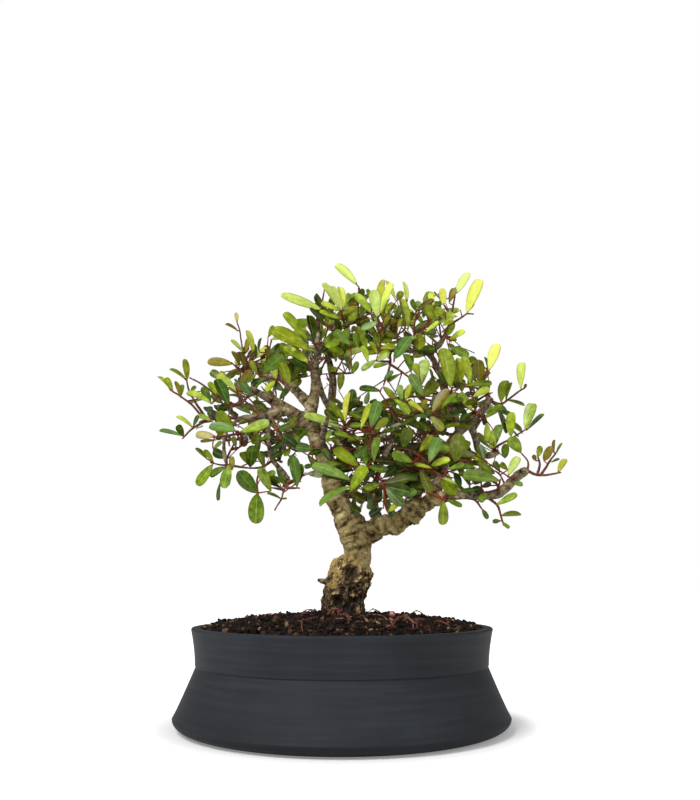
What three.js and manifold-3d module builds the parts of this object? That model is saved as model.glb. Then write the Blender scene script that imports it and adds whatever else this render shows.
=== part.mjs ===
// A mastic tree (Pistacia lentiscus) trained as a bonsai, in a low round pot with a pinched waist.
//
// Millimetres, +Z up. The origin is the middle of the pot's flat underside, +X is the tree's right
// and +Y its back. The pot, the two drain screens, the soil and the wood are one solid each. Each
// leafy shoot is one more: its twigs and leaves. A shoot starts 0.3 mm off the limb that carries
// it. The shoots at the front are laid out leaflet by leaflet, and those at the back are grown.

import * as THREE from "three";
import { mergeVertices } from "three/addons/utils/BufferGeometryUtils.js";
import Module from "manifold-3d";

const wasm = await Module();
wasm.setup();

const GAP = 0.3; // between pieces that touch

// Pot: thrown stoneware, unglazed, one wall thickness all over
const POT_HEIGHT = 60;
const RIM_RADIUS = 95.5;
const COLLAR_RADIUS = 93;
const COLLAR_HEIGHT = 47;
const WAIST_RADIUS = 92;
const WAIST_HEIGHT = 37;
const BELLY_RADIUS = 105;
const BELLY_HEIGHT = 7;
const FOOT_RADIUS = 92;
const WALL = 6;
const LIP_ROUND = 1.5;
const FLOOR_ROUND = 6;
const POT_SIDES = 36;

// Drainage: two holes with a plastic screen lying over each
const DRAIN_RADIUS = 7;
const DRAIN_OFFSET = 42;
const DRAIN_SIDES = 16;
const SCREEN_SIDE = 20;
const SCREEN_THICK = 1.2;
const SCREEN_OPENING = 3.6;
const SCREEN_PITCH = 5;
const SCREEN_HOLES = 3;

// Soil: heaped towards the trunk
const SOIL_EDGE_HEIGHT = 56.5;
const SOIL_MOUND = 9.5;
const SOIL_MOUND_POWER = 3.2;
const SOIL_LUMPS = 1.1;
const SOIL_RINGS = 4;

// Wood
const THICK_LIMB_SIDES = { trunk: 9, right: 7 };
const THIN_LIMB_SIDES = 5;

// Front view: the crown's front is laid out as an eye before the tree sees it, on a picture 700
// wide and 800 high. A spot is [across, down] from the picture's top left corner.
const EYE = new THREE.Vector3(4.95, -544.4, 90.1);
const EYE_TILT = 0.215; // upward, in radians
const PICTURE_SCALE = 816.3;
const PICTURE_MIDDLE = [350, 400];

// Twigs and leaflets at the front
const STEM_RADIUS = [1.35, 1]; // at a twig's foot and tip
const STEM_STEP = 2.5; // between the points that stand for a twig
const STEM_SHIFTS = [0, -3, 3, -6, 6, -9, 9, -12];
const LEAFLET_STEP = 1.5; // in depth, first towards the eye and then away from it
const LEAFLET_TRIES = 13; // each way
const LEAFLET_LEAN = 0.35;
const LONGEST_SHARE = 1.5; // of the length seen, for one that points at the eye
const STEEPEST_ROLL = 1.15;
const FAVOURED = 0.8; // how often one points at the eye, where it must, or turns its face up
const LEAFLET_DROOP = [0, 0.14];
const STALK_ROOT = [0.3, 0.25]; // half its width and thickness, in the twig's heart
const STALK_HALF = 0.55; // half its width, at the leaflet
const SHARPEST_BEND = -0.3; // cosine, between a stalk and its leaflet
const NEARLY_ALONG = 0.1; // sine, below which one direction counts as another


// Twigs at the back: each starts inside the limb, or at the fork of the shoot's first twig
const TWIG_ROOT_RADIUS = 1.6;
const TWIG_TIP_RADIUS = 1.25;
const TWIG_SIDES = 3;
const FORK_SHARE = 0.5;
const TIP_SHORTFALL = 15; // from a twig's tip to the middle of the leaves there
const LEAFY_SHARE = 0.62; // of a twig's length, back from its tip

// Leaves at the back: a stalk with one to three pairs of leathery leaflets
const BLADE_THICK = 0.8;
const STALK_HALF_WIDTH = 0.6;
const STALK_ROOT_HALF_WIDTH = 0.35;
const STALK_SUNK = 0.9;
const PETIOLE = 6;
const PAIR_SPACING = 7;
const LEAFLET_BASE = 1.5;
const LEAFLET_WIDTH_SHARE = 0.44;
const LEAFLET_OUTLINE = [[0.5, 1], [1, 0.4]]; // shares of its length, and of its width there
const LEAF_LEAN = [0.6, 1.05]; // from the twig, in radians
const TIP_LEAF_LEAN = [0.05, 0.45];
const LEAF_LIFT = 0.25;
const LEAF_ARCH = [0.002, 0.012]; // per millimetre of the stalk
const LEAFLET_ANGLE = [0.62, 0.95];
const NEXT_PAIR_CLOSES = 0.1;
const LEAFLET_FOLD = [0.02, 0.3];
const LEAFLET_SIZE = [0.85, 1.12];
const LEAFLET_CURL = [-0.06, 0.16];
const ONE_PAIR_CHANCE = 0.15;
const TWO_PAIR_CHANCE = 0.72;
const GOLDEN_TURN = 2.4;

// Growing: how often a twig or a leaf at the back is drawn again until it is clear of the rest
const SEED = 7;
const TWIG_TRIES = 60;
const LEAF_TRIES = 60;
const CLEARANCE = 0.5;
const FOOT_ZONE = 12; // of the limb, round a twig's foot
const STALK_ZONE = 7; // of the twig, round a leaf stalk's root

const UP = new THREE.Vector3(0, 0, 1);
const FRONT = new THREE.Vector3(0, -1, 0);
const CROWN_HEART = new THREE.Vector3(10, 0, 180);
const BACK_STARTS = 22; // leaves behind this face the back
const LOOKS = { outward: 0.35, up: 0.45, front: 0.55 };
const LOOKS_ASIDE = [0.6, 0.5, 0.4];

const material = (color, roughness, metalness = 0) =>
  new THREE.MeshStandardMaterial({ color, roughness, metalness });
const STONEWARE = material(0x33363b, 0.75);
const SCREEN_PLASTIC = material(0x1d2b24, 0.6);
const SOIL = material(0x2c211b, 1);
const BARK = material(0x8f7f62, 0.85);
const LEAF = material(0x55752b, 0.4);

const vector = (x, y, z) => new THREE.Vector3(x, y, z);

// A closed geometry as a solid for joining and cutting.
function solidOf(geometry) {
  const bare = geometry.clone();
  bare.deleteAttribute("normal");
  bare.deleteAttribute("uv");
  const merged = mergeVertices(bare, 1e-4);
  return new wasm.Manifold(
    new wasm.Mesh({
      numProp: 3,
      vertProperties: new Float32Array(merged.attributes.position.array),
      triVerts: new Uint32Array(merged.index.array),
    }),
  );
}

// The largest body of a solid, as a named mesh.
function meshOf(name, solid, finish) {
  const bodies = solid.decompose().sort((a, b) => b.volume() - a.volume());
  const faces = bodies[0].getMesh();
  const geometry = new THREE.BufferGeometry();
  geometry.setAttribute(
    "position",
    new THREE.BufferAttribute(faces.vertProperties, faces.numProp),
  );
  geometry.setIndex(new THREE.BufferAttribute(faces.triVerts, 1));
  geometry.computeVertexNormals();
  const mesh = new THREE.Mesh(geometry, finish);
  mesh.name = name;
  return mesh;
}

// A profile of [radius, height] points turned round the Z axis.
function turned(profile, sides) {
  const points = profile.map(([radius, height]) => new THREE.Vector2(radius, height));
  return new THREE.LatheGeometry(points, sides).rotateX(Math.PI / 2);
}

// A cylinder bent along a spine of [x, y, z, radius] points, with one ring of corners at each.
// swell(share of the spine, angle round it) widens or narrows it there, and extra thickens it.
function limbOf(spine, sides, swell = () => 1, extra = 0) {
  const last = spine.length - 1;
  const points = spine.map(([x, y, z]) => vector(x, y, z));
  const frames = [];
  let across = vector(0.3, 1, 0.2);
  for (let i = 0; i <= last; i++) {
    const tangent = points[Math.min(i + 1, last)].clone().sub(points[Math.max(i - 1, 0)]);
    tangent.normalize();
    across = across.clone().addScaledVector(tangent, -across.dot(tangent)).normalize();
    frames.push([across, tangent.clone().cross(across)]);
  }
  const geometry = new THREE.CylinderGeometry(1, 1, 1, sides, last);
  const position = geometry.attributes.position;
  for (let i = 0; i < position.count; i++) {
    const share = 0.5 - position.getY(i);
    const ring = Math.round(share * last);
    const angle = Math.atan2(position.getZ(i), position.getX(i));
    const radius = spine[ring][3] * swell(share, angle) + extra;
    const point = points[ring].clone();
    point.addScaledVector(frames[ring][0], position.getX(i) * radius);
    point.addScaledVector(frames[ring][1], position.getZ(i) * radius);
    position.setXYZ(i, point.x, point.y, point.z);
  }
  return geometry;
}

// A seeded draw from 0 to 1, the same in any language with 32-bit integers.
function seeded(seed) {
  let state = seed >>> 0;
  return () => {
    state = (state + 0x6d2b79f5) >>> 0;
    let mixed = Math.imul(state ^ (state >>> 15), 1 | state);
    mixed = (mixed + Math.imul(mixed ^ (mixed >>> 7), 61 | mixed)) ^ mixed;
    return ((mixed ^ (mixed >>> 14)) >>> 0) / 4294967296;
  };
}

// Pot

function potOuter() {
  const foot = BELLY_RADIUS - FOOT_RADIUS;
  const round = [90, 52, 22, 0].map((degrees) => {
    const angle = THREE.MathUtils.degToRad(degrees);
    return [FOOT_RADIUS + foot * Math.cos(angle), BELLY_HEIGHT * (1 - Math.sin(angle))];
  });
  return [
    [0, 0],
    ...round,
    [WAIST_RADIUS, WAIST_HEIGHT],
    [COLLAR_RADIUS, COLLAR_HEIGHT],
    [RIM_RADIUS, POT_HEIGHT - LIP_ROUND],
    [RIM_RADIUS - LIP_ROUND, POT_HEIGHT],
  ];
}

// The inside of the wall from the lip down to the floor, or a gap inside that.
function potInner(gap) {
  const inset = WALL + gap;
  const belly = BELLY_RADIUS - inset - 2;
  return [
    [RIM_RADIUS - inset, POT_HEIGHT - LIP_ROUND],
    [COLLAR_RADIUS - inset, COLLAR_HEIGHT],
    [WAIST_RADIUS - inset, WAIST_HEIGHT],
    [belly, WALL + FLOOR_ROUND],
    [belly - FLOOR_ROUND, WALL + gap],
  ];
}

function makePot() {
  const lip = [RIM_RADIUS - WALL + LIP_ROUND, POT_HEIGHT];
  const profile = [...potOuter(), lip, ...potInner(0), [0, WALL]];
  let pot = solidOf(turned(profile, POT_SIDES));
  for (const side of [-1, 1]) {
    const drill = new THREE.CylinderGeometry(DRAIN_RADIUS, DRAIN_RADIUS, 4 * WALL, DRAIN_SIDES);
    drill.rotateX(Math.PI / 2).translate(side * DRAIN_OFFSET, 0, 0);
    pot = pot.subtract(solidOf(drill));
  }
  return meshOf("pot", pot, STONEWARE);
}

// Drain screens

const screenHeight = WALL + GAP + SCREEN_THICK / 2;

function makeScreen(name, x) {
  const plate = new THREE.BoxGeometry(SCREEN_SIDE, SCREEN_SIDE, SCREEN_THICK);
  let screen = solidOf(plate);
  const first = (-SCREEN_PITCH * (SCREEN_HOLES - 1)) / 2;
  for (let i = 0; i < SCREEN_HOLES; i++) {
    for (let j = 0; j < SCREEN_HOLES; j++) {
      const hole = new THREE.BoxGeometry(SCREEN_OPENING, SCREEN_OPENING, 2 * SCREEN_THICK);
      hole.translate(first + i * SCREEN_PITCH, first + j * SCREEN_PITCH, 0);
      screen = screen.subtract(solidOf(hole));
    }
  }
  const mesh = meshOf(name, screen, SCREEN_PLASTIC);
  mesh.position.set(x, 0, screenHeight);
  return mesh;
}

// Wood. Each limb is a list of [x, y, z, radius] along its heart, from where it grows to its end.

const LIMBS = {
  trunk: [
    [1, 0, 47, 10], [0, 0, 56, 13.5], [0, 0, 66, 14], [0, 0, 76, 13], [3, 0, 86, 14.2],
    [6, 0, 95, 12.6], [9.5, 0, 103, 9.3], [10, 0, 110, 9], [8, 0, 118, 10.6], [4, 0, 126, 10],
    [0, 0, 134, 7.8], [-4, 0, 143, 8.1], [-6, 0, 152, 7.8], [-9, 1, 162, 6.8], [-13, 2, 171, 6.2],
    [-17, 3, 180, 5.9], [-20, 3, 190, 5.9], [-22, 3, 200, 5.4], [-20, 3, 210, 4.7],
    [-19, 4, 221, 3.7], [-20, 5, 232, 3.1], [-18, 6, 243, 2.8], [-18, 6, 254, 2.6],
    [-18, 6, 264, 2.3], [-17, 6, 271, 2],
  ],
  right: [
    [5, 0, 114, 7], [13, -2, 119, 7.3], [22, -5, 122, 6.8], [32, -8, 125, 6.4],
    [41, -10, 129, 6.2], [47, -11, 133, 6.9], [53, -12, 138, 5.1], [60, -12, 141, 4.6],
    [68, -12, 142, 3.7], [76, -14, 143, 3], [84, -16, 142, 2.7], [92, -18, 142, 2.9],
    [99, -20, 143, 3.2], [105, -21, 147, 3.3], [110, -22, 152, 3], [115, -22, 156, 3.3],
    [119, -22, 158, 2.8],
  ],
  rightUp: [
    [60, -12, 141, 3.8], [64, -9, 154, 3.7], [68, -4, 167, 3.6], [72, 0, 178, 3.6],
    [79, 3, 187, 3.5], [87, 6, 194, 3.4], [96, 9, 203, 3.2], [103, 12, 213, 3.4],
  ],
  spur: [
    [87, 6, 194, 3], [91, 8, 184, 2.9], [93, 9, 176, 2.8], [99, 9, 172, 2.6], [107, 9, 175, 2.2],
  ],
  leftLow: [
    [-20, 3, 190, 5.4], [-29, 0, 197, 5], [-38, -4, 202, 4.6], [-46, -8, 206, 3.8],
    [-54, -12, 210, 2.9], [-62, -15, 214, 2.2],
  ],
  leftStub: [
    [-37, -4, 201, 4.2], [-45, -9, 198, 3.9], [-52, -13, 195, 2.7], [-60, -16, 194, 1.9],
    [-67, -18, 193, 1.6],
  ],
  leftHigh: [
    [-21, 3, 204, 4.5], [-30, 8, 215, 3.9], [-38, 12, 223, 3.5], [-47, 16, 230, 3.4],
    [-55, 18, 229, 3], [-63, 20, 225, 2.4],
  ],
  hanging: [
    [-46, -8, 203, 2.4], [-49, -13, 189, 2], [-48, -17, 175, 1.8], [-45, -19, 165, 1.7],
    [-39, -21, 158, 1.6], [-34, -22, 152, 1.4],
  ],
  hangingOuter: [
    [-67, -18, 193, 1.5], [-75, -23, 184, 1.4], [-76, -26, 172, 1.4], [-74, -27, 162, 1.2],
  ],
  middle: [
    [22, -4, 126, 2.8], [21, -8, 138, 2.3], [21, -12, 148, 2.1], [23, -15, 156, 2],
    [26, -17, 164, 1.8], [30, -18, 173, 1.7], [34, -18, 181, 1.6], [38, -17, 189, 1.4],
  ],
  second: [
    [-7, 2, 157, 4.7], [-1, 10, 169, 4.2], [3, 16, 180, 3.8], [-3, 20, 190, 3.6],
    [-8, 21, 202, 3.5], [-8, 20, 215, 3.4], [-7, 20, 226, 3.2], [-9, 20, 238, 2.8],
    [-12, 20, 249, 2.3],
  ],
  arch: [
    [79, 3, 187, 2.8], [76, 8, 206, 2.5], [71, 10, 221, 2.4], [66, 10, 235, 2.3],
    [60, 9, 244, 2.4], [50, 8, 246, 2.3], [39, 6, 246, 2.1], [26, 4, 245, 1.7],
  ],
  archTip: [[60, 9, 244, 2.2], [68, 8, 250, 2], [72, 8, 258, 1.7], [76, 8, 267, 1.4]],
  backLeft: [[-19, 3, 188, 4.2], [-27, 20, 198, 3.4], [-35, 36, 206, 2.8], [-43, 50, 212, 2]],
  backMiddle: [[-8, 21, 206, 3.2], [-14, 36, 218, 2.6], [-18, 50, 233, 2.2], [-20, 61, 249, 1.7]],
  backRight: [
    [46, -10, 133, 4.4], [50, 8, 147, 3.6], [53, 24, 162, 3], [57, 38, 177, 2.5],
    [60, 50, 190, 1.9],
  ],
  snag: [[-8, -3, 87, 2.6], [-16, -5, 89, 1.2]],
  front: [[-15, 3, 176, 3.4], [-13, -12, 181, 2.7], [-11, -27, 186, 2.1], [-9, -39, 189, 1.6]],
};

// Old wood is ribbed: low ridges that wind up the trunk and the right-hand limb.
const ribs = (share, angle) =>
  1 + 0.05 * Math.sin(3 * angle + 9 * share) + 0.04 * Math.sin(5 * angle - 14 * share);

function woodSolid(extra) {
  const limbs = Object.entries(LIMBS).map(([name, spine]) => {
    const thickSides = THICK_LIMB_SIDES[name];
    if (!thickSides) return solidOf(limbOf(spine, THIN_LIMB_SIDES, undefined, extra));
    return solidOf(limbOf(spine, thickSides, ribs, extra));
  });
  return wasm.Manifold.union(limbs);
}

// Soil

// Height of the soil's surface, heaped at the trunk and a little lumpy.
function soilHeight(radius, angle) {
  const share = radius / (RIM_RADIUS - WALL);
  const mound = SOIL_MOUND * (1 - share ** SOIL_MOUND_POWER);
  const lumps =
    Math.sin(0.31 * radius + 3 * angle) +
    Math.sin(0.23 * radius - 5 * angle + 1) +
    Math.sin(0.47 * radius + 8 * angle + 2);
  return SOIL_EDGE_HEIGHT + mound + (SOIL_LUMPS * lumps) / 3;
}

function makeSoil(wood) {
  const [lip, ...wall] = potInner(GAP);
  const edge = lip[0] - 0.4;
  const rings = [...Array(SOIL_RINGS).keys()].map((i) => [
    (edge * (SOIL_RINGS - i)) / SOIL_RINGS,
    SOIL_EDGE_HEIGHT,
  ]);
  const profile = [[0, WALL + GAP], ...wall.reverse(), ...rings, [0, SOIL_EDGE_HEIGHT]];
  const geometry = turned(profile, POT_SIDES);
  const position = geometry.attributes.position;
  for (let i = 0; i < position.count; i++) {
    if (position.getZ(i) < SOIL_EDGE_HEIGHT - 0.1) continue;
    const radius = Math.hypot(position.getX(i), position.getY(i));
    const angle = radius < 0.1 ? 0 : Math.atan2(position.getY(i), position.getX(i));
    position.setZ(i, soilHeight(radius, angle));
  }
  let soil = solidOf(geometry).subtract(wood).subtract(wood.translate([0, 0, -GAP]));
  for (const side of [-1, 1]) {
    const pocketSide = SCREEN_SIDE + 2 * GAP;
    const pocket = new THREE.BoxGeometry(pocketSide, pocketSide, SCREEN_THICK + 2 * GAP);
    pocket.translate(side * DRAIN_OFFSET, 0, screenHeight);
    soil = soil.subtract(solidOf(pocket));
  }
  return meshOf("soil", soil, SOIL);
}

const draw = seeded(SEED);
const between = (low, high) => low + (high - low) * draw();

// Point at a share of a limb's length, measured along its straight stretches.
function onLimb(name, share) {
  const points = LIMBS[name];
  const lengths = points.slice(1).map((p, i) => vector(...p).distanceTo(vector(...points[i])));
  let left = share * lengths.reduce((sum, length) => sum + length, 0);
  let i = 0;
  while (i < lengths.length - 1 && left > lengths[i]) left -= lengths[i++];
  return vector(...points[i]).lerp(vector(...points[i + 1]), left / lengths[i]);
}

// Balls that stand for what is already placed, so that nothing new grows through it.
const balls = [];
const clearOf = (centre, radius, skip) =>
  balls.every(
    (ball) =>
      skip(ball) || ball.centre.distanceTo(centre) > ball.radius + radius + CLEARANCE,
  );

for (const [name, points] of Object.entries(LIMBS)) {
  for (let i = 0; i + 1 < points.length; i++) {
    for (const part of [0, 1 / 3, 2 / 3, 1]) {
      const centre = vector(...points[i]).lerp(vector(...points[i + 1]), part);
      const radius = THREE.MathUtils.lerp(points[i][3], points[i + 1][3], part);
      balls.push({ centre, radius, owner: name });
    }
  }
}

const TWIG_STEPS = 8;
const bezier = (twig, share) =>
  twig.foot
    .clone()
    .multiplyScalar((1 - share) ** 2)
    .addScaledVector(twig.bend, 2 * share * (1 - share))
    .addScaledVector(twig.tip, share ** 2);

// A twig from its foot, inside what carries it, to a tip, bent so that it clears what is placed.
function growTwig(shoot, foot, way, tip) {
  const reach = tip.distanceTo(foot);
  const near = ({ owner, centre }) =>
    owner === shoot || (owner === shoot.limb && centre.distanceTo(foot) < FOOT_ZONE);
  for (let attempt = 0; attempt < TWIG_TRIES; attempt++) {
    const spread = (0.06 + 0.008 * attempt) * reach;
    const bend = foot.clone().addScaledVector(way, 0.45 * reach).lerp(tip, 0.25);
    bend.x += between(-spread, spread);
    bend.y += between(-spread, spread);
    bend.z += between(-spread, spread);
    const twig = { shoot, foot, bend, tip };
    const free = [...Array(TWIG_STEPS).keys()].every((k) =>
      clearOf(bezier(twig, (k + 1) / TWIG_STEPS), TWIG_ROOT_RADIUS, near),
    );
    if (free) return twig;
  }
  return null;
}

// Four balls down the middle of a leaflet: shares of its length, and radii as shares of its width.
const LEAFLET_BALLS = [[0.16, 0.34], [0.4, 0.5], [0.64, 0.5], [0.88, 0.34]];

// A pinnate leaf laid out on its stalk: along is the stalk's way, face the way its upper side looks.
function layOutLeaf(root, along, face, length, arch, drawn) {
  const side = face.clone().cross(along);
  const stalkAt = (s) =>
    root.clone().addScaledVector(along, s).addScaledVector(face, -arch * s * s);
  const leaflets = drawn.map(({ angle, fold, size, curl }, i) => {
    const pair = Math.floor(i / 2);
    const hand = i % 2 === 0 ? 1 : -1;
    const opening = angle - NEXT_PAIR_CLOSES * pair;
    const way = along
      .clone()
      .multiplyScalar(Math.cos(opening))
      .addScaledVector(side, hand * Math.sin(opening))
      .addScaledVector(face, fold)
      .normalize();
    const across = face.clone().cross(way).normalize();
    const base = stalkAt(PETIOLE + pair * PAIR_SPACING + LEAFLET_BASE / 2);
    base.addScaledVector(side, hand * STALK_HALF_WIDTH);
    return { pair, hand, way, across, size: length * size, base, curl };
  });
  return { root, side, face, stalkAt, leaflets, pairs: drawn.length / 2 };
}

// A point of a leaflet: share of its length, and millimetres to its left.
const onLeaflet = (leaf, leaflet, share, off) =>
  leaflet.base
    .clone()
    .addScaledVector(leaflet.way, share * leaflet.size)
    .addScaledVector(leaflet.across, off)
    .addScaledVector(leaf.face, -leaflet.curl * leaflet.size * share * share);

// The balls of a leaf: three on its stalk, and four on each leaflet.
function ballsOf(leaf) {
  const stalkEnd = PETIOLE + (leaf.pairs - 1) * PAIR_SPACING;
  const stalk = [0.6 * PETIOLE, PETIOLE, stalkEnd].map((s) => ({
    centre: leaf.stalkAt(s),
    radius: BLADE_THICK,
    nearRoot: true,
  }));
  const blades = leaf.leaflets.flatMap((leaflet) =>
    LEAFLET_BALLS.map(([share, width], i) => ({
      centre: onLeaflet(leaf, leaflet, share, 0),
      radius: width * LEAFLET_WIDTH_SHARE * leaflet.size,
      nearRoot: i === 0,
    })),
  );
  return [...stalk, ...blades];
}

function isFree(leaf, twig) {
  const rootOnTwig = (ball) =>
    ball.twig === twig && ball.centre.distanceTo(leaf.root) < STALK_ZONE;
  const never = () => false;
  return ballsOf(leaf).every(({ centre, radius, nearRoot }) =>
    clearOf(centre, radius, nearRoot ? rootOnTwig : never),
  );
}

// A leaf at a share of a twig, turned until it is clear of everything placed before it.
function growLeaf(twig, share, turn) {
  const root = bezier(twig, share);
  const ahead = Math.min(1, share + 0.1);
  const tangent = bezier(twig, ahead).sub(bezier(twig, ahead - 0.2)).normalize();
  const outward = root.clone().sub(CROWN_HEART).normalize();
  const steep = Math.abs(tangent.z) >= 0.9;
  const sideways = tangent.clone().cross(steep ? vector(1, 0, 0) : UP).normalize();
  const third = tangent.clone().cross(sideways);
  const lean = share === 1 ? TIP_LEAF_LEAN : LEAF_LEAN;
  for (let attempt = 0; attempt < LEAF_TRIES; attempt++) {
    const azimuth = turn + between(-0.5, 0.5) * (1 + 0.3 * attempt);
    const leaning = between(...lean);
    const along = tangent
      .clone()
      .multiplyScalar(Math.cos(leaning))
      .addScaledVector(sideways, Math.sin(leaning) * Math.cos(azimuth))
      .addScaledVector(third, Math.sin(leaning) * Math.sin(azimuth))
      .addScaledVector(UP, LEAF_LIFT)
      .normalize();
    const look = outward
      .clone()
      .multiplyScalar(LOOKS.outward)
      .addScaledVector(UP, LOOKS.up)
      .addScaledVector(FRONT, root.y < BACK_STARTS ? LOOKS.front : -LOOKS.front)
      .add(vector(...LOOKS_ASIDE.map((most) => between(-most, most))));
    const face = look.addScaledVector(along, -look.dot(along)).normalize();
    const chance = draw() - ONE_PAIR_CHANCE;
    const pairs = chance < 0 ? 1 : chance < TWO_PAIR_CHANCE ? 2 : 3;
    const arch = between(...LEAF_ARCH);
    const drawn = [...Array(2 * pairs)].map(() => ({
      angle: between(...LEAFLET_ANGLE),
      fold: between(...LEAFLET_FOLD),
      size: between(...LEAFLET_SIZE),
      curl: between(...LEAFLET_CURL),
    }));
    const leaf = layOutLeaf(root, along, face, twig.length, arch, drawn);
    leaf.sunk = share === 1 ? STALK_SUNK : 0;
    if (isFree(leaf, twig)) return leaf;
  }
  return null;
}

// Front view

// Point of the picture at a depth along Y.
function fromView(across, down, depth) {
  const right = (across - PICTURE_MIDDLE[0]) / PICTURE_SCALE;
  const up = (PICTURE_MIDDLE[1] - down) / PICTURE_SCALE;
  const ahead = Math.cos(EYE_TILT) - up * Math.sin(EYE_TILT);
  const rise = Math.sin(EYE_TILT) + up * Math.cos(EYE_TILT);
  const reach = (depth - EYE.y) / ahead;
  return vector(EYE.x + reach * right, depth, EYE.z + reach * rise);
}

// Spot of the picture where a point is seen, and millimetres for one of its units there.
function inView(point) {
  const from = point.clone().sub(EYE);
  const distance = from.y * Math.cos(EYE_TILT) + from.z * Math.sin(EYE_TILT);
  const height = from.z * Math.cos(EYE_TILT) - from.y * Math.sin(EYE_TILT);
  const across = PICTURE_MIDDLE[0] + (PICTURE_SCALE * from.x) / distance;
  const down = PICTURE_MIDDLE[1] - (PICTURE_SCALE * height) / distance;
  return { across, down, unit: distance / PICTURE_SCALE };
}

// A line through points, cut into short steps.
function stepped(points, step) {
  const fine = [points[0].clone()];
  for (let i = 0; i + 1 < points.length; i++) {
    const count = Math.max(1, Math.ceil(points[i].distanceTo(points[i + 1]) / step));
    for (let k = 1; k <= count; k++) fine.push(points[i].clone().lerp(points[i + 1], k / count));
  }
  return fine;
}

// The point of a line that is seen nearest to a spot.
function nearestSeen(line, across, down) {
  const offs = line.map((point) => {
    const seen = inView(point);
    return Math.hypot(seen.across - across, seen.down - down);
  });
  return line[offs.indexOf(Math.min(...offs))];
}

// Front shoots. Each is a limb, its twigs as [depth of the tip, spots from foot to tip], and its
// leaflets as [spot of the base, spot of the tip, width], from the furthest to the nearest.

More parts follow.
